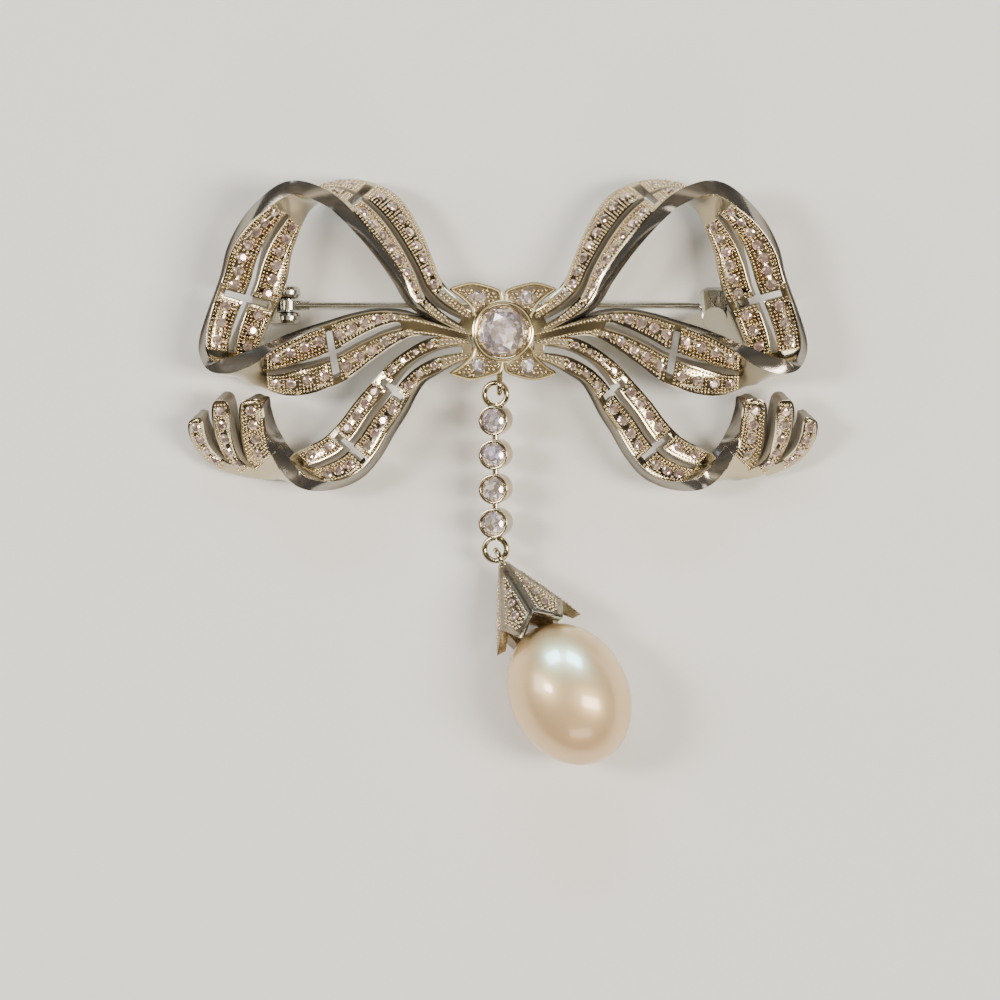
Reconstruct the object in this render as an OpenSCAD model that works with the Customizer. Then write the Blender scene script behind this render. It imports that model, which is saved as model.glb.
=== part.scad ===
/* [Bow] */
// Width of the bow across its curled tails
bow_w = 63.2; // [60:0.2:68]
// Height of the bow from the tails' lowest edge to the loops' crest
bow_h = 30.9; // [29.5:0.1:33]
// Depth of the bow from the surface it lies on to the loops' crest
bow_depth = 9.6; // [9.2:0.1:10.6]
// Thickness of the ribbons' metal
ribbon_t = 1.6; // [1.3:0.05:1.8]
// Width of the slot between the two rails of a ribbon
slot_w = 0.7; // [0.5:0.05:0.9]
// Width of the polished rim beside the stones
rim_w = 0.26; // [0.2:0.02:0.34]
// Depth of the channel that holds the stones
channel_deep = 0.36; // [0.3:0.02:0.45]
// Length of a cross cut along its ribbon
cross_len = 0.7; // [0.6:0.05:1.2]
// Metal left outside the end of a cross cut
cross_land = 0.75; // [0.6:0.05:1]

/* [Small stones] */
// Distance between the small stones along a rail
pave_pitch = 1.34; // [1.3:0.02:1.6]
// Widest small stone
pave_d = 1.15; // [0.9:0.05:1.2]
// Clearance between a small stone and the metal round it
pave_gap = 0.05; // [0.04:0.01:0.1]

/* [Flower] */
// Diameter of the centre stone
centre_d = 4.95; // [4.5:0.05:5.2]
// Outer diameter of the centre stone's collet
collet_d = 6.24; // [6:0.02:6.6]
// Height of the collet
collet_h = 3.8; // [3.4:0.1:4.2]
// Reach of a petal's tip to the side
petal_reach = 5.3; // [5:0.1:5.8]
// Reach of a petal's top from the centre
petal_rise = 4.9; // [4.7:0.1:5.4]
// Thickness of the petals
petal_t = 0.9; // [0.7:0.05:1]
// Diameter of the stone in each petal
petal_stone_d = 1.4; // [1.1:0.05:1.5]

/* [Bar] */
// Distance between two stones of the bar
bar_pitch = 3.44; // [3.2:0.02:3.8]
// Outer diameter of a bar collet
bar_collet_d = 3; // [2.9:0.05:3.15]
// Height of a bar collet
bar_collet_h = 2.1; // [1.9:0.1:2.4]
// Diameter of a bar stone
bar_stone_d = 2.36; // [2.1:0.02:2.5]
// Radius of the link rings' wire centre line
ring_r = 1.19; // [1:0.02:1.2]
// Radius of the small eyes' wire centre line
eye_r = 0.85; // [0.78:0.02:0.9]
// Radius of the wire of rings and eyes
wire_r = 0.23; // [0.18:0.01:0.25]
// How far the bar lies rolled on its side
bar_roll = 16; // [0:1:25]

/* [Pearl] */
// Diameter of the pearl
pearl_d = 11.9; // [11:0.1:12.4]
// Length of the pearl
pearl_l = 14.8; // [13.8:0.1:15.6]
// Radius of the pearl cap at the points of its petals
cap_r = 5; // [4.6:0.1:5.4]
// Length of the pearl cap
cap_l = 8.05; // [7.6:0.05:8.6]
// Wall of the pearl cap
cap_wall = 0.6; // [0.5:0.05:0.8]
// Number of petals of the pearl cap
cap_petals = 6; // [5:1:8]
// Radius of the peg that holds the pearl
peg_r = 0.45; // [0.35:0.05:0.6]
// Lean of the pearl to the side as it lies
drop_lean = 27; // [15:1:35]
// Diameter of the stones in the cap
cap_stone_d = 0.95; // [0.8:0.05:1.05]

/* [Pin] */
// Radius of the pin stem
stem_r = 0.3; // [0.25:0.01:0.34]
// Distance from the hinge to the middle of the catch
pin_span = 42; // [41.4:0.1:42.4]
// Distance of the pin above the middle of the bow
pin_up = 2.8; // [2.6:0.1:3.3]
// Radius of the hinge's ears
ear_r = 1.25; // [1.1:0.05:1.4]
// Thickness of each ear
ear_t = 1.3; // [1:0.1:1.5]
// Width of the stem's knuckle
knuckle_w = 0.9; // [0.8:0.1:1.3]
// Radius of the hinge's rivet
rivet_r = 0.32; // [0.25:0.01:0.36]
// Running clearance of the hinge
hinge_gap = 0.05; // [0.03:0.01:0.08]
// Radius of the catch's round hook
hook_r = 1.25; // [1.1:0.05:1.4]
// Clearance of the pin in the catch
hook_gap = 0.2; // [0.15:0.01:0.3]
// Radius of the catch's post
post_r = 1.2; // [1:0.05:1.3]

/* [Hidden] */
$fn = 48;
solder_gap = 0.05;
tiny = 0.01;
row_step = 1;
plug = 0.1;
lap = 0.12;
skew = 0.05;
hair = 0.03;
leaf_root = 0.2;
beside = 0.05;
crown_share = 0.17;
table_share = 0.56;
pavilion_share = 0.43;
seat_share = 0.86;
collet_lip = 0.12;
bar_count = 4;

// The ribbon tables count the parts of a grid, from the middle of the bow outwards:
// 316 parts make half its width, 309 its height and 96 its depth.
grid = [bow_w / 2 / 316, bow_h / 309, bow_depth / 96];
// Columns: front edge across, up, deep, then back edge across, up, deep.
loop_rows = [
    [31, -5, 62, 25, 14, 62],
    [67, 10, 64, 48, 32, 56],
    [92, 29, 69, 65, 50, 49],
    [105, 52, 75, 75, 71, 42],
    [123, 78, 80, 89, 103, 37],
    [143, 102, 86, 110, 133, 36],
    [163, 123, 90, 142, 146, 32],
    [179, 134, 93, 176, 143, 28],
    [201, 142, 94, 195, 131, 29],
    [219, 140, 91, 204, 118, 31],
    [241, 125, 83, 209, 104, 36],
    [260, 106, 73, 215, 80, 41],
    [274, 82, 65, 217, 59, 44],
    [282, 54, 59, 222, 39, 45],
    [293, 23, 57, 237, 6, 42],
    [300, -3, 58, 246, -13, 35],
    [300, -20, 61, 251, -25, 26],
    [292, -32, 65, 257, -34, 17],
    [275, -34, 68, 260, -40, 12],
    [257, -28, 70, 256, -44, 13],
    [240, -20, 71, 241, -48, 20],
    [221, -9, 71, 219, -58, 33],
    [199, 1, 70, 194, -59, 46],
    [173, 10, 68, 162, -49, 53],
    [151, 17, 66, 135, -30, 55],
    [125, 22, 65, 111, -13, 56],
    [100, 20, 64, 90, -2, 57],
    [71, 11, 62, 65, -3, 59],
    [33, -1, 61, 31, -11, 60],
];
tail_rows = [
    [31, -9, 61, 29, -25, 61],
    [56, -5, 60, 51, -34, 61],
    [76, -8, 58, 66, -42, 61],
    [98, -21, 55, 79, -50, 61],
    [115, -36, 51, 88, -62, 62],
    [130, -53, 46, 99, -82, 62],
    [146, -72, 41, 111, -100, 62],
    [160, -91, 36, 124, -122, 60],
    [176, -107, 30, 139, -140, 57],
    [193, -117, 24, 156, -150, 54],
    [206, -125, 18, 175, -154, 52],
    [216, -133, 13, 195, -152, 51],
    [223, -139, 8, 209, -143, 50],
    [233, -142, 6, 219, -131, 50],
    [245, -140, 6, 227, -118, 49],
];
// The three leaves of the curl, from its turn to their tips.
inner_leaf_rows = [
    [233, -142, 6, 219, -132, 50],
    [246, -134, 16, 228, -117, 48],
    [256, -118, 26, 233, -101, 46],
    [261, -96, 37, 236, -84, 50],
    [262, -75, 47, 238, -71, 56],
    [257, -66, 51, 244, -65, 56],
];
middle_leaf_rows = [
    [245, -141, 6, 239, -134, 16],
    [264, -135, 13, 254, -128, 24],
    [276, -121, 22, 263, -118, 32],
    [285, -102, 32, 269, -98, 41],
    [290, -78, 44, 271, -76, 50],
    [287, -65, 50, 275, -65, 54],
];
outer_leaf_rows = [
    [264, -138, 7, 260, -131, 17],
    [284, -131, 12, 279, -122, 22],
    [301, -120, 18, 291, -111, 28],
    [311, -105, 28, 297, -98, 36],
    [314, -92, 36, 299, -86, 43],
    [311, -85, 40, 302, -82, 44],
];
// Each arm: its table, the side that shows, the share of the width where its slot lies,
// and the stretches from the middle of the bow outwards, each with its start and its kind.
WHOLE = 0;
PLAIN = 1;
STONES = 2;
CROSS = 3;
FOLD = 4;
arm_list = [
    [loop_rows, 1, 0.43, [[0, WHOLE], [0.5, PLAIN], [1.6, STONES], [5.75, CROSS],
        [5.75, STONES], [7.2, WHOLE], [8, WHOLE]]],
    [loop_rows, -1, 0.5, [[8, WHOLE], [9.6, STONES], [13.4, CROSS],
        [13.4, STONES], [15.7, FOLD], [18, FOLD]]],
    [loop_rows, 1, 0.51, [[18, FOLD], [20.3, STONES], [22.9, CROSS],
        [22.9, STONES], [25.7, WHOLE], [28, WHOLE]]],
    [tail_rows, -1, 0.48, [[0, WHOLE], [0.5, PLAIN], [1.4, STONES], [4.55, CROSS],
        [4.55, STONES], [7.55, CROSS], [7.55, STONES], [10, WHOLE], [12, FOLD], [14, FOLD]]],
];
leaf_list = [inner_leaf_rows, middle_leaf_rows, outer_leaf_rows];
leaf_stones = [0.9, 4.6];
// The pads of solder: where each starts and ends along the loop, and how far across it starts.
hinge_pad = [12.5, 13.25, 0.66];
catch_pad = [12.9, 14, 0.72];
// A petal's corners: the share of its reach across, and of its rise up.
petal_corners = [[1, 0.845], [0.85, 0.94], [0.585, 1], [0.3, 0.94], [0.06, 0.84], [0.01, 0.67],
    [0.01, 0.4], [0.4, 0.2], [0.57, 0.35], [0.62, 0.49], [0.81, 0.69]];
// The stones of a cap petal: the share of the cap's length at which each lies.
cap_stone_at = [0.37, 0.52, 0.69];

function row_at(rows, u) = let (
        last = len(rows) - 1,
        i = min(max(floor(u), 0), last - 1),
        f = u - i,
        a = rows[max(i - 1, 0)],
        b = rows[i],
        c = rows[i + 1],
        d = rows[min(i + 2, last)]
    ) (2 * b + (c - a) * f + (2 * a - 5 * b + 4 * c - d) * f * f
        + (3 * b - a - 3 * c + d) * f * f * f) / 2;
function edge(rows, u, k) = let (r = row_at(rows, u))
    [-r[k] * grid.x, r[k + 1] * grid.y, r[k + 2] * grid.z];
function across(rows, u) = edge(rows, u, 3) - edge(rows, u, 0);
function width(rows, u) = norm(across(rows, u));
function middle(rows, u) = (edge(rows, u, 0) + edge(rows, u, 3)) / 2;
function unit(v) = v / norm(v);
function along(rows, u) = unit(middle(rows, u + beside) - middle(rows, u - beside));
function face_normal(rows, u) = unit(cross(across(rows, u), along(rows, u)));
// A point of a ribbon: u along it, v across it from 0 to 1, and h above its middle.
function spot(rows, u, v, h) = edge(rows, u, 0) + across(rows, u) * v + face_normal(rows, u) * h;

// Heights and places of the flower, the drop and the pin, from the middle of the bow.
flower_z = grid.z * 46;
petal_z = grid.z * 70;
petal_stone_at = [petal_reach * 0.46, petal_rise * 0.69];
petal_into = 0.2;
petal_sink = 0.1;
petal_floor = 0.15;
eye_out = 1.3;
eye_into = 0.3;
top_eye = [-0.35, -collet_d / 2 - eye_out - eye_r, flower_z + 0.5];
link_in = wire_r;
top_ring = top_eye + [-0.4, link_in - ring_r, 0];
ring_into = 0.12;
bar_first = ring_r + bar_collet_d / 2 - ring_into;
bar_last = bar_first + 0.1;
bar_len = bar_first + (bar_count - 1) * bar_pitch + bar_last;
drop_rise = 8;
cap_start = 0.75;
cap_top_r = 0.55;
cap_notch = 1.9;
cap_turn = 22;
cap_hollow = 2.3;
cap_stone_share = [0.42, 0.84];
petal_share = 0.95;
pearl_in_cap = 0.73;
pearl_at = cap_start + cap_l - pearl_in_cap + pearl_l / 2;
peg_in = 3.5;
peg_end = pearl_at - pearl_l / 2 + peg_in;
pearl_z = norm([pearl_l * sin(drop_rise), pearl_d * cos(drop_rise)]) / 2;
low_z = pearl_z - pearl_at * sin(drop_rise);
bar_fall = asin((top_ring.z - low_z) / bar_len);
low_hang = ring_r - wire_r - solder_gap;
low_eye = [top_ring.x + low_hang * sin(drop_lean),
    top_ring.y - bar_len * cos(bar_fall) - low_hang * cos(drop_lean), low_z];
pin_z = max(ear_r, hook_r);
pin_aside = 0.65;
hinge_x = -pin_span / 2 - pin_aside;
knuckle_r = ear_r - 0.3;
root_r = stem_r + 0.18;
root_l = 1.6;
tip_l = 3.9;
tip_share = 0.25;
root_in = 0.6;
stem_past = 0.5;
post_over = 0.3;
ear_round = 0.45;
side_gap = 0.2;
plate_t = 0.7;
plate_past = 1.85;
// Both plates reach from the pin to the loops that carry them.
plate_reach = hinge_x - under_loop(12.9, 0.83).x + plate_past;
catch_x = hinge_x + pin_span;
hook_in = 0.5;
hook_l = 0.8;
catch_reach = -under_loop(13.4, 0.86).x - catch_x + plate_past * 0.3;
plate_z = min([for (u = [13 : 0.25 : 14.5]) spot(loop_rows, u, 1, ribbon_t / 2).z]) - solder_gap;
// The whole object lies centred over its own outline.
crest_up = 153.9;
crest_y = crest_up * grid.y;
drop_y = low_eye.y - pearl_at * cos(drop_rise) * cos(drop_lean)
    - norm([pearl_l / 2 * cos(drop_rise) * cos(drop_lean), pearl_d / 2 * sin(drop_lean)]);
module at_home() {
    translate([0, -(crest_y + drop_y) / 2, 0]) children();
}

// The solid between a list of rings that all have the same number of points.
module skin(rings) {
    n = len(rings[0]);
    last = (len(rings) - 1) * n;
    polyhedron(
        points = [for (r = rings) for (p = r) p],
        faces = concat(
            [[for (i = [0 : n - 1]) i]],
            [[for (i = [n - 1 : -1 : 0]) last + i]],
            [for (k = [0 : n : last - n]) for (i = [0 : n - 1])
                let (j = (i + 1) % n) [k + i, k + n + i, k + n + j, k + j]]
        ),
        convexity = 8
    );
}

// One ring of a rail between v0 and v1, drawn in by e; the channel is sunk into the side that shows.
function plate_ring(rows, side, u, v0, v1, e) = let (h = (ribbon_t / 2 - e) * side, w = e / width(rows, u))
    [for (p = [[v0 + w, -h], [v0 + w, h], [v1 - w, h], [v1 - w, -h]]) spot(rows, u, p[0], p[1])];
function channel_ring(rows, side, u, v0, v1, e) = let (
        h = (ribbon_t / 2 - e) * side,
        floor_h = h - channel_deep * side,
        w = e / width(rows, u),
        rim = min(rim_w / width(rows, u), (v1 - v0) * 0.3) - w
    )
    [for (p = [[v0 + w, -h], [v0 + w, h], [v0 + rim, h], [v0 + rim, floor_h], [v1 - rim, floor_h],
        [v1 - rim, h], [v1 - w, h], [v1 - w, -h]]) spot(rows, u, p[0], p[1])];
function in_order(list, side) = side > 0 ? list : [for (i = [len(list) - 1 : -1 : 0]) list[i]];
function steps(u0, u1) = let (n = max(1, ceil((u1 - u0) / row_step - tiny)))
    [for (i = [0 : n]) u0 * (1 - i / n) + u1 * (i / n)];

// Where the half slot ends on each side of its middle line, as shares of the width.
function slot_half(rows, u) = slot_w / 2 / width(rows, u);
function rail_span(arm, u, first) = first
    ? [0, arm[2] - slot_half(arm[0], u)]
    : [arm[2] + slot_half(arm[0], u), 1];
function cross_span(arm, u, first) = let (land = cross_land / width(arm[0], u))
    first ? [0, land] : [1 - land, 1];
// The stretch of u that a cross cut takes up.
function cross_half(rows, u) = cross_len / 2 / norm(middle(rows, u + 0.5) - middle(rows, u - 0.5));

// The same, with every other corner of the end rings drawn out a little, so that no end face is flat.
function drawn_out(ring, next) = [for (i = [0 : len(ring) - 1]) let (way = ring[i] - next[i])
    ring[i] + (i % 2) * skew * way / norm(way)];
module strip(rings) {
    last = len(rings) - 1;
    skin([for (i = [0 : last]) i == 0 ? drawn_out(rings[0], rings[1])
        : i == last ? drawn_out(rings[last], rings[last - 1]) : rings[i]]);
}

// Every second stretch is a hair thinner and runs into the ones beside it, so that no two faces coincide.
function thinner(i) = i % 2 == 1 ? hair : 0;
function run_in(i) = i % 2 == 1 ? lap : 0;

module rail_stretch(arm, kind, u0, u1, first, e) {
    strip([for (u = steps(u0, u1)) let (
            s = kind == WHOLE ? [0, 1]
                : kind == CROSS ? cross_span(arm, u, first) : rail_span(arm, u, first),
            ring = kind == STONES ? channel_ring(arm[0], arm[1], u, s[0], s[1], e)
                : plate_ring(arm[0], arm[1], u, s[0], s[1], e)
        ) in_order(ring, arm[1])]);
}

// In a tight bend each cell is a hull, and ends in tapered plugs that run into the cells beside it.
module fold_stretch(rows, u0, u1, e) {
    list = steps(u0, u1);
    for (i = [0 : len(list) - 2]) {
        from = list[i];
        to = list[i + 1];
        hull() strip([for (p = [[from - lap, plug], [from, 0], [to, 0], [to + lap, plug]])
            plate_ring(rows, 1, p[0], 0, 1, p[1] + e)]);
    }
}

// Start and end of stretch i of an arm, with room made for the cross cuts on either side.
function stretch_from(arm, i) = let (s = arm[3], cut = cross_half(arm[0], s[i][0]))
    s[i][1] == CROSS ? s[i][0] - cut : (i > 0 && s[i - 1][1] == CROSS ? s[i][0] + cut : s[i][0]);
function stretch_to(arm, i) = let (s = arm[3], cut = cross_half(arm[0], s[i + 1][0]))
    s[i][1] == CROSS ? s[i][0] + cut : (s[i + 1][1] == CROSS ? s[i + 1][0] - cut : s[i + 1][0]);

module arm_solid(arm) {
    for (i = [0 : len(arm[3]) - 2]) {
        kind = arm[3][i][1];
        u0 = stretch_from(arm, i) - run_in(i);
        u1 = stretch_to(arm, i) + run_in(i);
        if (kind == FOLD) {
            fold_stretch(arm[0], u0, u1, thinner(i));
        } else {
            for (first = kind == WHOLE ? [true] : [true, false])
                rail_stretch(arm, kind, u0, u1, first, thinner(i));
        }
    }
}

module leaf(rows) {
    last = len(rows) - 1;
    strip([for (u = steps(0, leaf_stones[0] + lap))
        plate_ring(rows, 1, u, 0, 1, u > 0 ? hair : leaf_root)]);
    strip([for (u = steps(leaf_stones[0], leaf_stones[1])) channel_ring(rows, 1, u, 0, 1, 0)]);
    strip([for (u = steps(leaf_stones[1] - lap, last)) plate_ring(rows, 1, u, 0, 1, hair)]);
}

module half_bow() {
    difference() {
        union() {
            for (arm = arm_list) arm_solid(arm);
            for (rows = leaf_list) leaf(rows);
        }
        cylinder(d = collet_d + 2 * solder_gap, h = bow_depth * 2, $fn = 32);
    }
}

module bow_left() {
    color("silver") at_home() half_bow();
}

module bow_right() {
    color("silver") at_home() mirror([1, 0, 0]) half_bow();
}

// Places along a rail that are one pitch apart, worked out from its length.
function rail_point(arm, u, first) = let (s = rail_span(arm, u, first))
    spot(arm[0], u, (s[0] + s[1]) / 2, 0);
function leaf_point(rows, u) = spot(rows, u, 0.5, 0);
function lengths(points) = [for (i = 0, sum = 0; i < len(points);
    i = i + 1, sum = i < len(points) ? sum + norm(points[i] - points[i - 1]) : sum) sum];
function even_places(points, list) = let (
        run = lengths(points),
        total = run[len(run) - 1],
        n = floor(total / pave_pitch),
        chart = [for (i = [0 : len(list) - 1]) [run[i], list[i]]]
    ) [for (i = [0 : 1 : n - 1]) lookup((i + 0.5) * total / n, chart)];
function fine(u0, u1) = [for (i = [0 : 24]) u0 + (u1 - u0) * i / 24];

// A small stone as wide as its channel allows, with its girdle level with the rims.
module pave_stone(rows, side, u, v0, v1) {
    w = (v1 - v0) * width(rows, u);
    d = min(pave_d, w - 2 * min(rim_w, w * 0.3) - 2 * pave_gap);
    z_way = face_normal(rows, u) * side;
    x_way = along(rows, u);
    y_way = cross(z_way, x_way);
    place = spot(rows, u, (v0 + v1) / 2, ribbon_t / 2 * side);
    multmatrix([for (k = [0 : 2]) [x_way[k], y_way[k], z_way[k], place[k]]]) shallow_stone(d);
}

// The octagon of radius r at height z.
function octagon(r, z) = [for (a = [22.5 : 45 : 359]) [r * cos(a), r * sin(a), z]];

module stone(d, crown, table, pavilion) {
    points = concat(octagon(d / 2, 0), octagon(d * table / 2, crown), [[0, 0, -pavilion]]);
    hull() polyhedron(points = points, faces = concat(
        [[for (i = [15 : -1 : 8]) i]],
        [for (i = [0 : 7]) [i, i + 8, (i + 1) % 8 + 8, (i + 1) % 8]],
        [for (i = [0 : 7]) [i, (i + 1) % 8, 16]]
    ));
}

module shallow_stone(d) {
    stone(d, d * crown_share, table_share, min(d * pavilion_share, channel_deep - 2 * pave_gap));
}

module deep_stone(d) {
    stone(d, d * crown_share, table_share, d * pavilion_share);
}

// A row of stones keeps clear of the stretches that run into its own.
function room(arm, i) = arm[3][i][1] == FOLD ? lap : run_in(i);

module half_small_stones() {
    for (arm = arm_list, i = [0 : len(arm[3]) - 2], first = [true, false]) {
        if (arm[3][i][1] == STONES) {
            list = fine(stretch_from(arm, i) + room(arm, i - 1), stretch_to(arm, i) - room(arm, i + 1));
            for (u = even_places([for (u = list) rail_point(arm, u, first)], list)) {
                s = rail_span(arm, u, first);
                pave_stone(arm[0], arm[1], u, s[0], s[1]);
            }
        }
    }
    for (rows = leaf_list) {
        list = fine(leaf_stones[0] + lap, leaf_stones[1] - lap);
        for (u = even_places([for (u = list) leaf_point(rows, u)], list))
            pave_stone(rows, 1, u, 0, 1);
    }
}

module small_stones_left() {
    color("mistyrose") at_home() half_small_stones();
}

module small_stones_right() {
    color("mistyrose") at_home() mirror([1, 0, 0]) half_small_stones();
}

// A round cup with a stepped bore for a stone; its foot is at height 0.
function girdle_at(h, d) = h - collet_lip * d;
module collet(outer, h, d) {
    girdle = girdle_at(h, d);
    seat_z = girdle - d * pavilion_share * (1 - seat_share) - solder_gap;
    difference() {
        cylinder(d = outer, h = h);
        translate([0, 0, seat_z]) cylinder(d = d + 2 * solder_gap, h = h);
        translate([0, 0, girdle - d * pavilion_share - 3 * solder_gap]) cylinder(d = d * seat_share, h = h);
    }
}

module torus(r, wire) {
    rotate_extrude() translate([r, 0]) circle(r = wire);
}

module petal_plate() {
    difference() {
        linear_extrude(height = petal_t)
            polygon([for (p = petal_corners) [p.x * petal_reach, p.y * petal_rise]]);
        translate([0, 0, -tiny]) cylinder(d = collet_d - 2 * petal_into, h = petal_t * 2);
        translate([petal_stone_at.x, petal_stone_at.y, tiny]) rotate(22.5)
            cylinder(d = petal_stone_d + 2 * solder_gap, h = petal_t, $fn = 8);
    }
}

module each_petal() {
    for (x = [0, 1], y = [0, 1]) mirror([x, 0, 0]) mirror([0, y, 0]) translate([0, 0, petal_z]) children();
}

module flower() {
    color("silver") at_home() {
        translate([0, 0, flower_z]) collet(collet_d, collet_h, centre_d);
        each_petal() petal_plate();
        translate(top_eye) rotate([0, 90, 0]) torus(eye_r, wire_r);
        translate([top_eye.x, top_eye.y + eye_r, top_eye.z]) rotate([-90, 0, 0])
            cylinder(r = wire_r * 1.3, h = -top_eye.y - eye_r - collet_d / 2 + eye_into);
    }
}

module centre_stone() {
    color("white") at_home() translate([0, 0, flower_z + girdle_at(collet_h, centre_d)])
        deep_stone(centre_d);
}

module petal_stone(x, y) {
    girdle = petal_t - petal_sink;
    color("white") at_home()
        translate([x * petal_stone_at.x, y * petal_stone_at.y, petal_z + girdle])
        stone(petal_stone_d, petal_stone_d * crown_share, table_share, girdle - petal_floor);
}

module petal_stone_1() {
    petal_stone(-1, 1);
}

module petal_stone_2() {
    petal_stone(1, 1);
}

module petal_stone_3() {
    petal_stone(-1, -1);
}

module petal_stone_4() {
    petal_stone(1, -1);
}

// The bar lies from the flower's eye down to the pearl cap's eye, rolled on its side.
module on_bar() {
    at_home() translate(top_ring) rotate([bar_fall, 0, 0]) rotate([0, -bar_roll, 0]) children();
}

function bar_y(i) = -bar_first - i * bar_pitch;

module stone_bar() {
    color("silver") on_bar() {
        torus(ring_r, wire_r);
        translate([0, -bar_len, 0]) torus(ring_r, wire_r);
        for (i = [0 : bar_count - 1]) translate([0, bar_y(i), -bar_collet_h / 2])
            collet(bar_collet_d, bar_collet_h, bar_stone_d);
        bar_neck(-ring_r, bar_y(0) + bar_collet_d / 2);
        for (i = [1 : 1 : bar_count - 1])
            bar_neck(bar_y(i - 1) - bar_collet_d / 2, bar_y(i) + bar_collet_d / 2);
        bar_neck(bar_y(bar_count - 1) - bar_collet_d / 2, ring_r - bar_len);
    }
}

// A short rod between two neighbours, let into each by most of a collet's wall.
module bar_neck(y0, y1) {
    into = (bar_collet_d - bar_stone_d) / 2 - 2 * solder_gap;
    translate([0, max(y0, y1) + into, 0]) rotate([90, 0, 0])
        cylinder(r = wire_r * 1.4, h = abs(y1 - y0) + 2 * into);
}

module bar_stone(i) {
    color("white") on_bar() translate([0, bar_y(i), girdle_at(bar_collet_h, bar_stone_d) - bar_collet_h / 2])
        deep_stone(bar_stone_d);
}

module bar_stone_1() {
    bar_stone(0);
}

module bar_stone_2() {
    bar_stone(1);
}

module bar_stone_3() {
    bar_stone(2);
}

module bar_stone_4() {
    bar_stone(3);
}

// The drop's own axis starts at the middle of the cap's eye and runs to the pearl.
module on_drop() {
    at_home() translate(low_eye) rotate([90 - drop_rise, 0, drop_lean]) children();
}

// A ring of the cap: the line between two petals, then the middle of a petal.
function cap_r_at(h) = cap_top_r + (cap_r - cap_top_r) * (h - cap_start) / cap_l;
function cap_point(a, h, inset, share) = let (r = (cap_r_at(h) - inset) * share)
    [r * cos(a), r * sin(a), h];
function cap_ring(h_fold, h_tip, inset) = [for (k = [0 : cap_petals - 1], j = [0, 1])
    let (a = cap_turn + (k + j / 2) * 360 / cap_petals)
    cap_point(a, j == 0 ? h_fold : h_tip, inset, j == 0 ? 1 : petal_share)];

module pearl_cap() {
    fold_h = cap_start + cap_l - cap_notch;
    tip_h = cap_start + cap_l;
    color("silver") on_drop() {
        skin([
            cap_ring(cap_start, cap_start, 0),
            cap_ring(fold_h, tip_h, 0),
            cap_ring(fold_h, tip_h, cap_wall),
            cap_ring(cap_hollow, cap_hollow, cap_wall)
        ]);
        rotate([0, 90, 0]) torus(eye_r, wire_r);
        translate([0, 0, cap_hollow - cap_wall]) cylinder(r = peg_r, h = peg_end - cap_hollow + cap_wall);
    }
}

// A row of stones that grow towards the tip lies on each petal.
module cap_stones() {
    slope = atan(petal_share * (cap_r - cap_top_r) / cap_l);
    lift = solder_gap / cos(slope);
    color("mistyrose") on_drop() for (k = [0 : cap_petals - 1], t = cap_stone_at) {
        h = cap_start + cap_l * t;
        a = cap_turn + (k + 0.5) * 360 / cap_petals;
        translate(cap_point(a, h, -lift, petal_share)) rotate([0, 0, a]) rotate([0, 90 + slope, 0])
            flat_stone(cap_stone_d * (cap_stone_share[0] + cap_stone_share[1] * t));
    }
}

// A stone that shows its crown alone, with a flat back.
module flat_stone(d) {
    points = concat(octagon(d / 2, 0), octagon(d * table_share / 2, d * crown_share));
    hull() polyhedron(points = points, faces = concat(
        [[for (i = [15 : -1 : 8]) i], [for (i = [0 : 7]) i]],
        [for (i = [0 : 7]) [i, i + 8, (i + 1) % 8 + 8, (i + 1) % 8]]
    ));
}

module pearl() {
    side = [for (a = [-82.5 : 7.5 : 82.5]) [pearl_d / 2 * cos(a), pearl_l / 2 * sin(a)]];
    color("linen") on_drop() difference() {
        translate([0, 0, pearl_at]) rotate_extrude()
            polygon(concat([[0, -pearl_l / 2]], side, [[0, pearl_l / 2]]));
        translate([0, 0, pearl_at - pearl_l])
            cylinder(r = peg_r + hinge_gap, h = pearl_l - pearl_at + peg_end + hinge_gap);
    }
}

// A pad of solder under the low edge of a loop, and the pieces of the pin that it carries.
function under_loop(u, v) = spot(loop_rows, u, v, ribbon_t / 2 + 2 * solder_gap);
module pad(place, z) {
    top = [under_loop(place[0], place[2]), under_loop(place[0], 1),
        under_loop(place[1], 1), under_loop(place[1], place[2])];
    hull() skin([[for (q = top) [q.x, q.y, z]], top]);
}

module y_cylinder(x, y, z, r, h) {
    translate([x, y, z]) rotate([-90, 0, 0]) cylinder(r = r, h = h);
}

module x_cone(x, y, z, r1, r2, h) {
    translate([x, y, z]) rotate([0, 90, 0]) cylinder(r1 = r1, r2 = r2, h = h);
}

// An ear of the hinge: a disc across the pin whose rim is rounded in two steps on each side.
module ear(y0) {
    side = [for (p = [[0, 1], [0.3, 0.35], [1, 0]]) [ear_r - ear_round * p[1], ear_round * p[0]]];
    other = [for (i = [2 : -1 : 0]) [side[i].x, ear_t - side[i].y]];
    translate([hinge_x, y0, pin_z]) rotate([-90, 0, 0]) rotate_extrude()
        polygon(concat([[0, 0]], side, other, [[0, ear_t]]));
}

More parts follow.
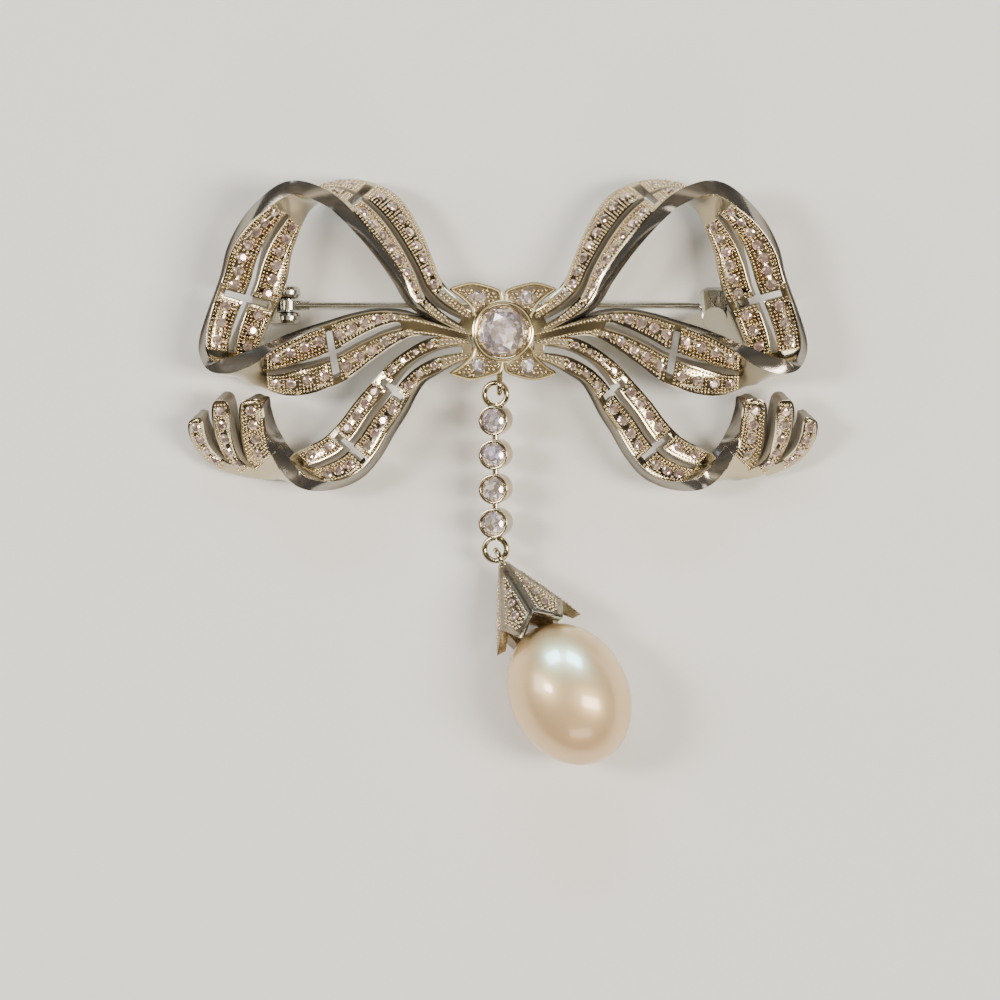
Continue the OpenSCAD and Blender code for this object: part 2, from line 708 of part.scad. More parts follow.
module hinge_bracket() {
    side_y = knuckle_w / 2 + side_gap;
    reach = side_y + ear_t;
    bridge_x = hinge_x - knuckle_r - 2 * hinge_gap;
    shank_t = ear_t - 2 * ear_round * 0.3;
    color("silver") at_home() {
        translate([hinge_x - plate_reach, pin_up - reach + ear_round, pin_z - ear_r * 0.5])
            cube([bridge_x - hinge_x + plate_reach, 2 * (reach - ear_round), plate_z - pin_z + ear_r * 0.5]);
        for (y0 = [pin_up - reach, pin_up + side_y]) {
            ear(y0);
            translate([hinge_x - plate_reach, y0 + (ear_t - shank_t) / 2, pin_z - ear_r * 0.5])
                cube([plate_reach, shank_t, ear_r * 1.2]);
        }
        y_cylinder(hinge_x, pin_up - reach + tiny, pin_z, rivet_r, 2 * reach - 2 * tiny);
        pad(hinge_pad, plate_z - plate_t);
    }
}

module pin_stem() {
    tip_x = catch_x + hook_r + stem_past;
    root_x = hinge_x + knuckle_r * root_in;
    color("silver") at_home() difference() {
        union() {
            y_cylinder(hinge_x, pin_up - knuckle_w / 2, pin_z, knuckle_r, knuckle_w);
            x_cone(root_x, pin_up, pin_z, root_r, root_r, root_l);
            x_cone(root_x, pin_up, pin_z, stem_r, stem_r, tip_x - tip_l - root_x);
            x_cone(tip_x - tip_l, pin_up, pin_z, stem_r, stem_r * tip_share, tip_l);
        }
        y_cylinder(hinge_x, pin_up - knuckle_w, pin_z, rivet_r + hinge_gap, 2 * knuckle_w);
    }
}

module catch() {
    mouth = stem_r + hook_gap * 0.7;
    hook_y = pin_up + hook_r * 0.5;
    post_y = pin_up - hook_r * 1.15;
    low = -pin_up * 0.5;
    outline = [[-hook_r * 2, pin_up * 0.41], [-hook_r * 0.5, pin_up * 0.75],
        [catch_reach * 0.9, pin_up * 0.75], [catch_reach, pin_up * 0.36],
        [catch_reach * 0.95, low], [-hook_r * 1.5, low]];
    color("silver") at_home() difference() {
        union() {
            translate([catch_x, 0, plate_z - plate_t]) linear_extrude(height = plate_t) polygon(outline);
            mirror([1, 0, 0]) pad(catch_pad, plate_z - plate_t);
            hull() {
                for (x = [hook_in, hook_in + hook_l]) translate([catch_x + x, hook_y, pin_z])
                    rotate([0, 90, 0]) sphere(r = hook_r, $fn = 16);
                translate([catch_x + hook_in + hook_l / 2, post_y, pin_z])
                    cylinder(r = post_r, h = plate_z - pin_z + post_over, $fn = 20);
            }
        }
        x_cone(catch_x - 2 * hook_r, pin_up, pin_z, stem_r + hook_gap, stem_r + hook_gap, 5 * hook_r);
        translate([catch_x - 2 * hook_r, pin_up - mouth, -1]) cube([5 * hook_r, 2 * mouth, pin_z + 1]);
    }
}

bow_left();
bow_right();
small_stones_left();
small_stones_right();
flower();
centre_stone();
petal_stone_1();
petal_stone_2();
petal_stone_3();
petal_stone_4();
stone_bar();
bar_stone_1();
bar_stone_2();
bar_stone_3();
bar_stone_4();
pearl_cap();
cap_stones();
pearl();
hinge_bracket();
pin_stem();
catch();
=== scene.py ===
# %% [markdown]
# # A silver bow brooch with a pearl drop
#
# The brooch lies flat and is looked at from straight above. Its solids come packed from the
# workshop's drawing, and this script dresses them: ribbons with polished edges, channels full of
# small stones, a flower with a set stone, a bar of four stones and a pearl under a pointed cap.
#
# Everything is in metres, in the frame of the solids, so a piece goes where its solid is.

# %% Load the solids
import math
import random
from collections import namedtuple

import bmesh
import bpy
from mathutils import Matrix, Vector, noise


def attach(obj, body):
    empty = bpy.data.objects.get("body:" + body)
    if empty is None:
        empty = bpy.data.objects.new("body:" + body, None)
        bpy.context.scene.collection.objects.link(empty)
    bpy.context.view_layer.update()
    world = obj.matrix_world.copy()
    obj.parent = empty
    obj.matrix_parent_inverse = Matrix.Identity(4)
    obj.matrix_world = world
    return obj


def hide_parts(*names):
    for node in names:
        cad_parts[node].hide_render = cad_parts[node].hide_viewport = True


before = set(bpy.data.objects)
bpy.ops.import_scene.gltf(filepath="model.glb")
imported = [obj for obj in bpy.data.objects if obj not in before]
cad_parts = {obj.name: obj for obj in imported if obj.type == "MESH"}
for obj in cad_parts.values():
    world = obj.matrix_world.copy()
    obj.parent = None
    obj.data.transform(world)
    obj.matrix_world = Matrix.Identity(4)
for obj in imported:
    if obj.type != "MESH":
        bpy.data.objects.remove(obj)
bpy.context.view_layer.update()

# %% [markdown]
# ## The measures of the bow
#
# A ribbon is a strip of metal that was drawn as pairs of points: one on its front edge and one on
# its back edge, with a height each. The same points shape the solids, so the dressed ribbon lies
# exactly over its solid. Lengths here are millimetres, because a jeweller thinks in them, and each
# finished mesh is brought to metres at the very end.

# %% Measures
MM = 0.001
HOME = 13.93725  # the middle of the bow, up the page
GRID = (63.2 / 2 / 316, 30.9 / 309, 9.6 / 96)  # one step of the drawing: across, up, in height
RIBBON_T, SLOT_W, RIM_W, CHANNEL_DEEP = 1.6, 0.7, 0.26, 0.36
CROSS_LEN, CROSS_LAND = 0.7, 0.75
NARROW_RIM = 0.3  # the most that a rim takes up of a narrow rail
LOWEST = 0.02  # no ribbon dips lower than this above the table

LOOP = [
    (31, -5, 62, 25, 14, 62), (67, 10, 64, 48, 32, 56), (92, 29, 69, 65, 50, 49),
    (105, 52, 75, 75, 71, 42), (123, 78, 80, 89, 103, 37), (143, 102, 86, 110, 133, 36),
    (163, 123, 90, 142, 146, 32), (179, 134, 93, 176, 143, 28), (201, 142, 94, 195, 131, 29),
    (219, 140, 91, 204, 118, 31), (241, 125, 83, 209, 104, 36), (260, 106, 73, 215, 80, 41),
    (274, 82, 65, 217, 59, 44), (282, 54, 59, 222, 39, 45), (293, 23, 57, 237, 6, 42),
    (300, -3, 58, 246, -13, 35), (300, -20, 61, 251, -25, 26), (292, -32, 65, 257, -34, 17),
    (275, -34, 68, 260, -40, 12), (257, -28, 70, 256, -44, 13), (240, -20, 71, 241, -48, 20),
    (221, -9, 71, 219, -58, 33), (199, 1, 70, 194, -59, 46), (173, 10, 68, 162, -49, 53),
    (151, 17, 66, 135, -30, 55), (125, 22, 65, 111, -13, 56), (100, 20, 64, 90, -2, 57),
    (71, 11, 62, 65, -3, 59), (33, -1, 61, 31, -11, 60),
]
TAIL = [
    (31, -9, 61, 29, -25, 61), (56, -5, 60, 51, -34, 61), (76, -8, 58, 66, -42, 61),
    (98, -21, 55, 79, -50, 61), (115, -36, 51, 88, -62, 62), (130, -53, 46, 99, -82, 62),
    (146, -72, 41, 111, -100, 62), (160, -91, 36, 124, -122, 60), (176, -107, 30, 139, -140, 57),
    (193, -117, 24, 156, -150, 54), (206, -125, 18, 175, -154, 52), (216, -133, 13, 195, -152, 51),
    (223, -139, 8, 209, -143, 50), (233, -142, 6, 219, -131, 50), (245, -140, 6, 227, -118, 49),
]
LEAVES = {
    "inner": [
        (233, -142, 6, 219, -132, 50), (246, -134, 16, 228, -117, 48), (256, -118, 26, 233, -101, 46),
        (261, -96, 37, 236, -84, 50), (262, -75, 47, 238, -71, 56), (257, -66, 51, 244, -65, 56)],
    "middle": [
        (245, -141, 6, 239, -134, 16), (264, -135, 13, 254, -128, 24), (276, -121, 22, 263, -118, 32),
        (285, -102, 32, 269, -98, 41), (290, -78, 44, 271, -76, 50), (287, -65, 50, 275, -65, 54)],
    "outer": [
        (264, -138, 7, 260, -131, 17), (284, -131, 12, 279, -122, 22), (301, -120, 18, 291, -111, 28),
        (311, -105, 28, 297, -98, 36), (314, -92, 36, 299, -86, 43), (311, -85, 40, 302, -82, 44)],
}
print("pairs of points:", len(LOOP), "for the loop and", len(TAIL), "for the tail")

# %% [markdown]
# ## A place on a ribbon
#
# A ribbon bends in space, so every detail on it is placed by three numbers: `u` along it, `v` across
# it and `h` above its middle. A smooth curve through the drawn points gives the edge at any `u`.


# %% Ribbon maths
def smooth(p, q, r, s, f):
    """The value at share f of the way from q to r, on a smooth curve through p, q, r and s."""
    return (2 * q + (r - p) * f + (2 * p - 5 * q + 4 * r - s) * f ** 2
            + (3 * q - p - 3 * r + s) * f ** 3) / 2


class Ribbon:
    """A drawn strip: u along it, v across it from 0 to 1, h above the middle of its thickness."""

    def __init__(self, rows):
        self.rows, self.last = rows, len(rows) - 1

    def edges(self, u):
        i = min(max(math.floor(u), 0), self.last - 1)
        near = [self.rows[min(max(i + k, 0), self.last)] for k in (-1, 0, 1, 2)]
        r = [smooth(*values, u - i) for values in zip(*near)]
        return [Vector((-r[k] * GRID[0], r[k + 1] * GRID[1] + HOME, r[k + 2] * GRID[2]))
                for k in (0, 3)]

    def width(self, u):
        front, back = self.edges(u)
        return (back - front).length

    def middle(self, u):
        front, back = self.edges(u)
        return (front + back) / 2

    def along(self, u):
        return (self.middle(u + 0.05) - self.middle(u - 0.05)).normalized()

    def normal(self, u):
        front, back = self.edges(u)
        return (back - front).cross(self.along(u)).normalized()

    def spot(self, u, v, h):
        front, back = self.edges(u)
        return front + (back - front) * v + self.normal(u) * h


loop, tail = Ribbon(LOOP), Ribbon(TAIL)
leaves = {name: Ribbon(rows) for name, rows in LEAVES.items()}
print("the loop is", round(loop.width(12), 2), "mm wide at its left side")

# %% [markdown]
# ## Arms and their stretches
#
# Each arm of the bow is split by a slot into two rails. Along it come stretches of stones, short
# cross cuts, and plain metal where the ribbon turns over. The list below repeats the drawing's: for
# each arm the ribbon, where the arm ends, the side that shows, the share of the width where the slot
# lies, and where each stretch starts.

# %% Arms
WHOLE, PLAIN, STONES, CROSS, FOLD = "whole", "plain", "stones", "cross", "fold"
Arm = namedtuple("Arm", "ribbon end side split marks")
ARMS = [
    Arm(loop, 8, 1, 0.43, [(0, WHOLE), (0.5, PLAIN), (1.6, STONES), (5.75, CROSS), (5.75, STONES),
                           (7.2, WHOLE)]),
    Arm(loop, 18, -1, 0.5, [(8, WHOLE), (9.6, STONES), (13.4, CROSS), (13.4, STONES), (15.7, FOLD)]),
    Arm(loop, 28, 1, 0.51, [(18, FOLD), (20.3, STONES), (22.9, CROSS), (22.9, STONES),
                            (25.7, WHOLE)]),
    Arm(tail, 14, -1, 0.48, [(0, WHOLE), (0.5, PLAIN), (1.4, STONES), (4.55, CROSS), (4.55, STONES),
                             (7.55, CROSS), (7.55, STONES), (10, WHOLE)]),
]


def cross_half(ribbon, u):
    """Half of a cross cut, as a stretch of u."""
    return CROSS_LEN / 2 / (ribbon.middle(u + 0.5) - ribbon.middle(u - 0.5)).length


def stretches(arm):
    """The arm's stretches as (start, end, kind), with room made for the cross cuts."""
    out = []
    for k, (u, kind) in enumerate(arm.marks):
        after, next_kind = arm.marks[k + 1] if k + 1 < len(arm.marks) else (arm.end, WHOLE)
        cut, next_cut = cross_half(arm.ribbon, u), cross_half(arm.ribbon, after)
        if kind == CROSS:
            out.append((u - cut, u + cut, kind))
        else:
            start = u + cut if k and arm.marks[k - 1][1] == CROSS else u
            out.append((start, after - next_cut if next_kind == CROSS else after, kind))
    return out


print("stretches of the first arm:", [(round(a, 2), round(b, 2), k) for a, b, k in stretches(ARMS[0])])

# %% [markdown]
# ## Sums with sockets
#
# A finish is a net of shader nodes. Written as sums it reads much better, so one small class wraps a
# socket and lets Python's operators add the Math nodes, and one bench adds every other node.


# %% Shader bench
class Term:
    """A shader socket that takes part in sums."""

    def __init__(self, bench, node, output=0):
        self.bench, self.socket = bench, node.outputs[output]

    def sum(self, operation, a, b):
        return self.bench.add("ShaderNodeMath", {"operation": operation}, {0: a, 1: b})

    def __add__(self, other):
        return self.sum("ADD", self, other)

    def __sub__(self, other):
        return self.sum("SUBTRACT", self, other)

    def __rsub__(self, other):
        return self.sum("SUBTRACT", other, self)

    def __mul__(self, other):
        return self.sum("MULTIPLY", self, other)

    def __pow__(self, other):
        return self.sum("POWER", self, other)

    __radd__, __rmul__ = __add__, __mul__


def rgb(r, g, b):
    return (r, g, b, 1.0)


class Bench:
    """The nodes of one finish, or of the room."""

    def __init__(self, owner, shader="Principled BSDF"):
        owner.use_nodes = True
        self.owner, self.tree = owner, owner.node_tree
        self.shader = self.tree.nodes[shader]

    def add(self, kind, settings=None, inputs=None, output=0):
        """A node of this kind: first its settings, then the values or links of its sockets."""
        node = self.tree.nodes.new(kind)
        for key, value in (settings or {}).items():
            if key == "stops":
                while len(node.color_ramp.elements) < len(value):
                    node.color_ramp.elements.new(0.5)
                for stop, (place, colour) in zip(node.color_ramp.elements, value):
                    stop.position, stop.color = place, rgb(*colour)
            else:
                setattr(node, key, value)
        for key, value in (inputs or {}).items():
            self.feed(node.inputs[key], value)
        return Term(self, node, output)

    def feed(self, socket, value):
        if isinstance(value, Term):
            self.tree.links.new(value.socket, socket)
        else:
            socket.default_value = value

    def place(self):
        return self.add("ShaderNodeTexCoord", output="Object")

    def grain(self, size_mm, detail=2.0, stretch=(1, 1, 1)):
        """Soft noise whose lumps are about size_mm across, from 0 to 1."""
        where = self.add("ShaderNodeMapping", {}, {"Vector": self.place(), "Scale": stretch})
        return self.add("ShaderNodeTexNoise", {},
                        {"Vector": where, "Scale": 1 / (size_mm * MM), "Detail": detail})

    def contrast(self, value, low=0.0, high=1.0):
        """Stretches the middle of a noise so that it runs from low to high."""
        return self.add("ShaderNodeMapRange", {}, {0: value, 1: 0.38, 2: 0.62, 3: low, 4: high})

    def blend(self, amount, a, b):
        return self.add("ShaderNodeMix", {"data_type": "RGBA"}, {0: amount, 6: a, 7: b}, output=2)

    def bump(self, height, strength, depth_mm=0.02):
        return self.add("ShaderNodeBump", {},
                        {"Height": height, "Strength": strength, "Distance": depth_mm * MM})

    def finish(self, **sockets):
        for name, value in sockets.items():
            self.feed(self.shader.inputs[name.replace("_", " ")], value)
        return self.owner


def new_bench(name):
    return Bench(bpy.data.materials.new(name))


# %% [markdown]
# ## The metal
#
# The brooch is plated a bright white with a warm cast. Real plating is never even: the tone drifts
# over some millimetres, the polish is a little hazy in places, and fine wiping marks run through it.
# One recipe serves for every finish, from mirror bright to satin. The high walls of the ribbons are
# seen at a shallow angle, where metal would mirror the pale floor, so they keep less of that shine.


# %% Metal finishes
def plated(name, light, shade, polish, haze, ripple, metallic=1.0, edge=1.0):
    """Edge is how much of its shine the metal keeps where it is seen at a shallow angle."""
    bench = new_bench(name)
    tone, marks, fine = bench.grain(4.0, 3.0), bench.grain(0.5, 4.0, (1, 5, 2)), bench.grain(0.12)
    return bench.finish(
        Base_Color=bench.blend(tone, light, shade), Roughness=polish + haze * marks * tone * 1.6,
        Metallic=metallic, Specular_Tint=rgb(edge, edge, edge),
        Normal=bench.bump(marks * 0.7 + fine * 0.3, ripple))


bright_metal = plated("bright_metal", rgb(0.63, 0.54, 0.35), rgb(0.45, 0.40, 0.29), 0.06, 0.12, 0.25)
bead_metal = plated("bead_metal", rgb(0.80, 0.68, 0.45), rgb(0.62, 0.51, 0.36), 0.08, 0.1, 0.1)
petal_metal = plated("petal_metal", rgb(0.95, 0.82, 0.52), rgb(0.78, 0.68, 0.46), 0.07, 0.08, 0.3)
bed_metal = plated("bed_metal", rgb(0.34, 0.29, 0.20), rgb(0.24, 0.21, 0.16), 0.3, 0.2, 0.5)
satin_metal = plated("satin_metal", rgb(0.44, 0.39, 0.31), rgb(0.33, 0.30, 0.26), 0.26, 0.2, 0.5,
                     metallic=0.6, edge=0.4)
wall_metal = plated("wall_metal", rgb(0.42, 0.38, 0.31), rgb(0.28, 0.27, 0.27), 0.1, 0.12, 0.3,
                    metallic=0.92, edge=0.1)
cap_metal = plated("cap_metal", rgb(0.36, 0.31, 0.23), rgb(0.27, 0.24, 0.18), 0.22, 0.16, 0.6)
pin_metal = plated("pin_metal", rgb(0.56, 0.55, 0.50), rgb(0.46, 0.45, 0.42), 0.14, 0.12, 0.08)
metals = (bright_metal, bead_metal, petal_metal, bed_metal, satin_metal, wall_metal, cap_metal, pin_metal)
print("finishes of the metal:", ", ".join(m.name for m in metals))

# %% [markdown]
# ## The stones
#
# The stones are clear, with a strong sparkle: light bends a lot in them, so the index of refraction
# is high. A cut stone throws light back from the facets below its crown, some bright and some dim. A
# render would need very many samples to find that light, so it is painted: cells of a Voronoi pattern
# stand in for it, darkening the colour as painted shade and glowing as painted glints. The small
# stones have a faint blush, which differs a little from stone to stone.


# %% Stone finishes
def gem(name, clear, blush, cell_mm, ior, clearness, flash, painted_glint_glow):
    """A clear stone: clearness lets light through and flash mirrors it. A Voronoi pattern paints the
    light of its facets: dark spots of painted shade in its colour, and painted glints that shine as
    emission, as strongly as the last value says.
    """
    bench = new_bench(name)
    # painted light: the Voronoi cells stand for the light that the facets throw back
    painted_facet_light = bench.add("ShaderNodeTexVoronoi", {},
                      {"Vector": bench.place(), "Scale": 1 / (cell_mm * MM)}, output="Color")
    tint = bench.blend(bench.contrast(bench.grain(1.1, 1.0)), clear, blush)
    return bench.finish(
        # painted shade: the base colour darkens in the cells, and the emission paints glints that glow
        # from them
        Base_Color=bench.blend(painted_facet_light * 0.8, tint, rgb(0.40, 0.32, 0.27)),
        Roughness=0.015 + 0.03 * bench.grain(0.4),
        IOR=ior, Transmission_Weight=clearness, Metallic=flash, Emission_Strength=painted_glint_glow,
        Emission_Color=bench.blend((1 - painted_facet_light) ** 4, rgb(0, 0, 0), tint))


# the last value of each is the strength of the painted glints
clear_gem = gem("clear_gem", rgb(1.0, 0.92, 0.76), rgb(0.88, 0.80, 0.98), 0.42, 2.1, 0.6, 0.5, 1.0)
small_gem = gem("small_gem", rgb(1.0, 0.80, 0.66), rgb(0.82, 0.55, 0.50), 0.3, 2.0, 0.35, 0.6, 0.45)
print("finishes of the stones:", clear_gem.name, "and", small_gem.name)

# %% [markdown]
# ## From modelling to a finished piece
#
# Each piece is modelled in millimetres in a bmesh. One helper closes the work: it smooths the faces,
# brings the mesh to metres, names its finish, lets it ride on its body, and takes the place of the
# solid that it dresses. A small bevel as a modifier gives metal edges their wear, in the first of the
# piece's finishes. Most of the bow comes as a left half and its mirror image.


# %% Finishing helpers
def as_mesh(bm, name):
    mesh = bpy.data.meshes.new(name)
    bm.to_mesh(mesh)
    bm.free()
    return mesh


def piece(bm, name, finish, slot, stands_for=(), bevel=0.0, flat=False, sharp=40):
    for f in bm.faces:
        f.smooth = not flat
    bmesh.ops.scale(bm, vec=(MM, MM, MM), verts=bm.verts)
    mesh = as_mesh(bm, name)
    for one in finish if isinstance(finish, tuple) else (finish,):
        mesh.materials.append(one)
    obj = bpy.data.objects.new(name, mesh)
    bpy.context.scene.collection.objects.link(obj)
    if bevel:
        worn = obj.modifiers.new("worn edge", "BEVEL")
        worn.width, worn.segments, worn.limit_method = bevel * MM, 2, "ANGLE"
        worn.angle_limit, worn.harden_normals, worn.material = math.radians(sharp), False, 0
    elif not flat:
        mesh.set_sharp_from_angle(angle=math.radians(sharp))
    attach(obj, "brooch")
    if stands_for:
        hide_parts(*stands_for)
    print(name, len(mesh.polygons), "faces")
    return obj


def outward(bm):
    bmesh.ops.recalc_face_normals(bm, faces=bm.faces)


def both_sides(half, name, finish, slot, node=None, **options):
    """A piece for the left half of the bow and its mirror image for the right half."""
    twin = half.copy()
    bmesh.ops.scale(twin, vec=(-1, 1, 1), verts=twin.verts)
    bmesh.ops.reverse_faces(twin, faces=twin.faces)
    for bm, side in ((half, "left"), (twin, "right")):
        stands_for = [f"{node}_{side}"] if node else []
        piece(bm, f"{name}_{side}", finish, slot, stands_for, **options)


# %% [markdown]
# ## The ribbons
#
# On the real brooch each arm was cast as one strip, with the slot, the cross cuts and the sunk
# channels in the wax. Here a flat grid is laid along the strip, with grid lines exactly where a rim, a
# slot or a cut ends. The faces of the slots are taken out, the sheet is extruded to its thickness, and
# the channel faces are extruded back into it. That is quicker and cleaner than cutting with booleans.
#
# The lines across come first. On an arm they part the width in nine bands: a rim, two bands of
# channel, a rim, the slot, and the same again. A leaf has no slot, and its tip is rounded.

# %% Lines across a ribbon
SLOT_BAND, CROSS_BANDS, CHANNEL_BANDS = 4, (2, 3, 4, 5, 6), (1, 2, 6, 7)
MIDDLE_CLEAR = 1.4  # room beside a channel's middle line, in rims
LEAF_SHARES = (0, 0.15, 0.5, 0.85, 1)
TIP_START, TIP_END = 4.5, 5.03
LOOP_SPLITS = [(0, 0.43), (7.2, 0.43), (9.6, 0.5), (15.7, 0.5), (20.3, 0.51), (28, 0.51)]
TAIL_SPLITS = [(0, 0.48), (14, 0.48)]


def split_at(splits, u):
    """The slot's place, which slides from one arm's share to the next where the metal is whole."""
    for (u0, s0), (u1, s1) in zip(splits, splits[1:]):
        if u <= u1:
            return s0 + (s1 - s0) * max(u - u0, 0) / (u1 - u0)
    return splits[-1][1]


def columns(ribbon, u, splits):
    """Shares of the width for the grid's lines on an arm."""
    w, split = ribbon.width(u), split_at(splits, u)
    half, land = SLOT_W / 2 / w, CROSS_LAND / w
    a, b = split - half, split + half
    rim_a, rim_b = (min(RIM_W / w, rail * NARROW_RIM) for rail in (a, 1 - b))
    off_a, off_b = rim_a * MIDDLE_CLEAR, rim_b * MIDDLE_CLEAR
    mid_a = min(max(land, off_a), a - off_a)
    mid_b = max(min(1 - land, 1 - off_b), b + off_b)
    return [0, rim_a, mid_a, a - rim_a, a, b, b + rim_b, mid_b, 1 - rim_b, 1]


def leaf_columns(ribbon, u):
    """Shares of the width for the grid's lines on a leaf."""
    rim = min(RIM_W / ribbon.width(u), NARROW_RIM)
    kept = math.sqrt(1 - ((u - TIP_START) / (TIP_END - TIP_START)) ** 2) if u > TIP_START else 1.0
    return [0.5 + (v - 0.5) * kept for v in (0, rim, 0.5, 1 - rim, 1)]


def band(ribbon, u, v, splits):
    """Number of the band that v lies in, counted from the front edge."""
    marks = columns(ribbon, u, splits) if splits else LEAF_SHARES
    return sum(m < v for m in marks[1:])


print("lines across the loop:", [round(v, 3) for v in columns(loop, 12, LOOP_SPLITS)])

# %% [markdown]
# Every point of the grid keeps its `u` and `v` as values of its own, so each later step can ask where
# on the ribbon it is. An extruded point has the values of the point that it comes from.

# %% Sheet of a ribbon
GRID_STEP, END_RIM = 0.1, 0.16


def kind_at(table, u):
    return next((row for row in table if row[0] <= u <= row[1]), table[-1])


def mean(face, layer):
    return sum(vert[layer] for vert in face.verts) / len(face.verts)


def verts_in(geom):
    return [g for g in geom if isinstance(g, bmesh.types.BMVert)]


def grid_lines(table):
    """Lines along u: where a stretch or a channel starts or ends, and even steps between."""
    fixed = set()
    for u0, u1, kind, side in table:
        fixed.update((u0, u1))
        if kind == STONES:
            fixed.update((u0 + END_RIM, u1 - END_RIM))
    fixed, out = sorted(fixed), []
    for a, b in zip(fixed, fixed[1:]):
        n = max(1, round((b - a) / GRID_STEP))
        out += [a + (b - a) * k / n for k in range(n)]
    return out + fixed[-1:]


def settle(vert, place):
    vert.co = place
    vert.co.z = max(vert.co.z, LOWEST)


def slab(ribbon, table, splits, behind):
    """A ribbon as a closed slab with its slots open, and the two layers that hold u and v."""
    lines = grid_lines(table)
    bm = bmesh.new()
    along, across = bm.verts.layers.float.new("u"), bm.verts.layers.float.new("v")
    rows = [columns(ribbon, u, splits) if splits else leaf_columns(ribbon, u) for u in lines]
    ends = len(rows) - 1, len(rows[0]) - 1
    grid = bmesh.ops.create_grid(bm, x_segments=ends[0], y_segments=ends[1], size=0.5)
    for vert in grid["verts"]:
        i, j = (round((vert.co[k] + 0.5) * ends[k]) for k in (0, 1))
        vert[along], vert[across] = lines[i], rows[i][j]
        settle(vert, ribbon.spot(lines[i], rows[i][j], -RIBBON_T / 2 - behind))
    gone = []
    for f in bm.faces:
        u, v = mean(f, along), mean(f, across)
        k, kind = band(ribbon, u, v, splits), kind_at(table, u)[2]
        in_slot, in_cut = k == SLOT_BAND and kind in (PLAIN, STONES), k in CROSS_BANDS and kind == CROSS
        if splits and (in_slot or in_cut):
            gone.append(f)
    bmesh.ops.delete(bm, geom=gone, context="FACES")
    made = bmesh.ops.extrude_face_region(bm, geom=list(bm.faces), use_keep_orig=True)["geom"]
    for vert in verts_in(made):
        settle(vert, ribbon.spot(vert[along], vert[across], RIBBON_T / 2))
    outward(bm)
    return bm, along, across


# %% [markdown]
# A channel is sunk on the side that shows, and a short rim stays at each of its ends. The rims and
# faces are bright. The inner walls, and the beds of channels that hold no cut stones, are satin, and
# the walls along the ribbon's edges have a finish of their own.

# %% Channels and finishes of a ribbon
FACE, SATIN, WALL = 0, 1, 2
RIBBON_FINISH = (bright_metal, satin_metal, wall_metal)
WORN = 0.09  # width of the worn edges
LEVEL, UPRIGHT = 0.7, 0.5  # how much a face looks up from the ribbon, at least or at most
EDGE, BELOW = 0.02, 0.1


def strip(ribbon, table, splits=None, behind=0.0, beds=()):
    """One ribbon as a closed mesh, in millimetres."""
    bm, along, across = slab(ribbon, table, splits, behind)
    for want in (1, -1):
        region = []
        for f in bm.faces:
            u, v = mean(f, along), mean(f, across)
            u0, u1, kind, side = kind_at(table, u)
            if (len(f.verts) == 4 and kind == STONES and side == want
                    and u0 + END_RIM < u < u1 - END_RIM
                    and f.normal.dot(ribbon.normal(u)) * want >= LEVEL
                    and band(ribbon, u, v, splits) in CHANNEL_BANDS):
                region.append(f)
        if region:
            for vert in verts_in(bmesh.ops.extrude_face_region(bm, geom=region)["geom"]):
                vert.co = ribbon.spot(vert[along], vert[across], (RIBBON_T / 2 - CHANNEL_DEEP) * want)
    outward(bm)
    for f in bm.faces:
        u, v = mean(f, along), mean(f, across)
        up = ribbon.normal(u)
        h = (f.calc_center_median() - ribbon.middle(u)).dot(up)
        upright = abs(f.normal.dot(up)) < UPRIGHT
        bed = any(u0 < u < u1 for u0, u1 in beds) and band(ribbon, u, v, splits) in CHANNEL_BANDS
        sunk = abs(h) < RIBBON_T / 2 - BELOW
        at_edge = not EDGE < v < 1 - EDGE
        f.material_index = WALL if upright and at_edge else SATIN if upright or bed or sunk else FACE
    return bm


# %% Loops of the bow
loop_table = [(*stretch, arm.side) for arm in ARMS[:3] for stretch in stretches(arm)]
tail_table = [(*stretch, ARMS[3].side) for stretch in stretches(ARMS[3])]
both_sides(strip(loop, loop_table, LOOP_SPLITS, beds=[(0.3, 1.6), (25.7, 28)]),
           "loop_ribbon", RIBBON_FINISH, "bow_metal", node="bow", bevel=WORN)

# %% [markdown]
# A tail ends in a curl of three leaves, each with one channel. The two outer leaves show pale sides
# in the gaps between them, so they have no dark walls.

# %% Tails and their curled leaves
both_sides(strip(tail, tail_table, TAIL_SPLITS, beds=[(0, 1.4)]),
           "tail_ribbon", RIBBON_FINISH, "bow_metal", bevel=WORN)

LEAF_START, LEAF_END = 0.9, 4.6
leaf_table = [(0, LEAF_START, PLAIN, 1), (LEAF_START, LEAF_END, STONES, 1), (LEAF_END, 5, PLAIN, 1)]
for name, leaf in leaves.items():
    finish = RIBBON_FINISH if name == "inner" else (bright_metal, satin_metal, satin_metal)
    both_sides(strip(leaf, leaf_table, behind=0.8), name + "_leaf", finish, "bow_metal", bevel=WORN)

# %% [markdown]
# ## The small stones and the beads between them
#
# Each channel holds a row of round stones, and between every two of them the setter pushed up small
# beads of metal that hold them. A stone here is the convex hull of a few rings of points, so its
# facets come out flat and sharp like cut ones. Stones and beads are repeated hundreds of times, so
# each has only a few dozen faces.

# %% Stone and bead shapes
CROWN, TABLE, PAVILION, GIRDLE = 0.17, 0.56, 0.43, 0.03


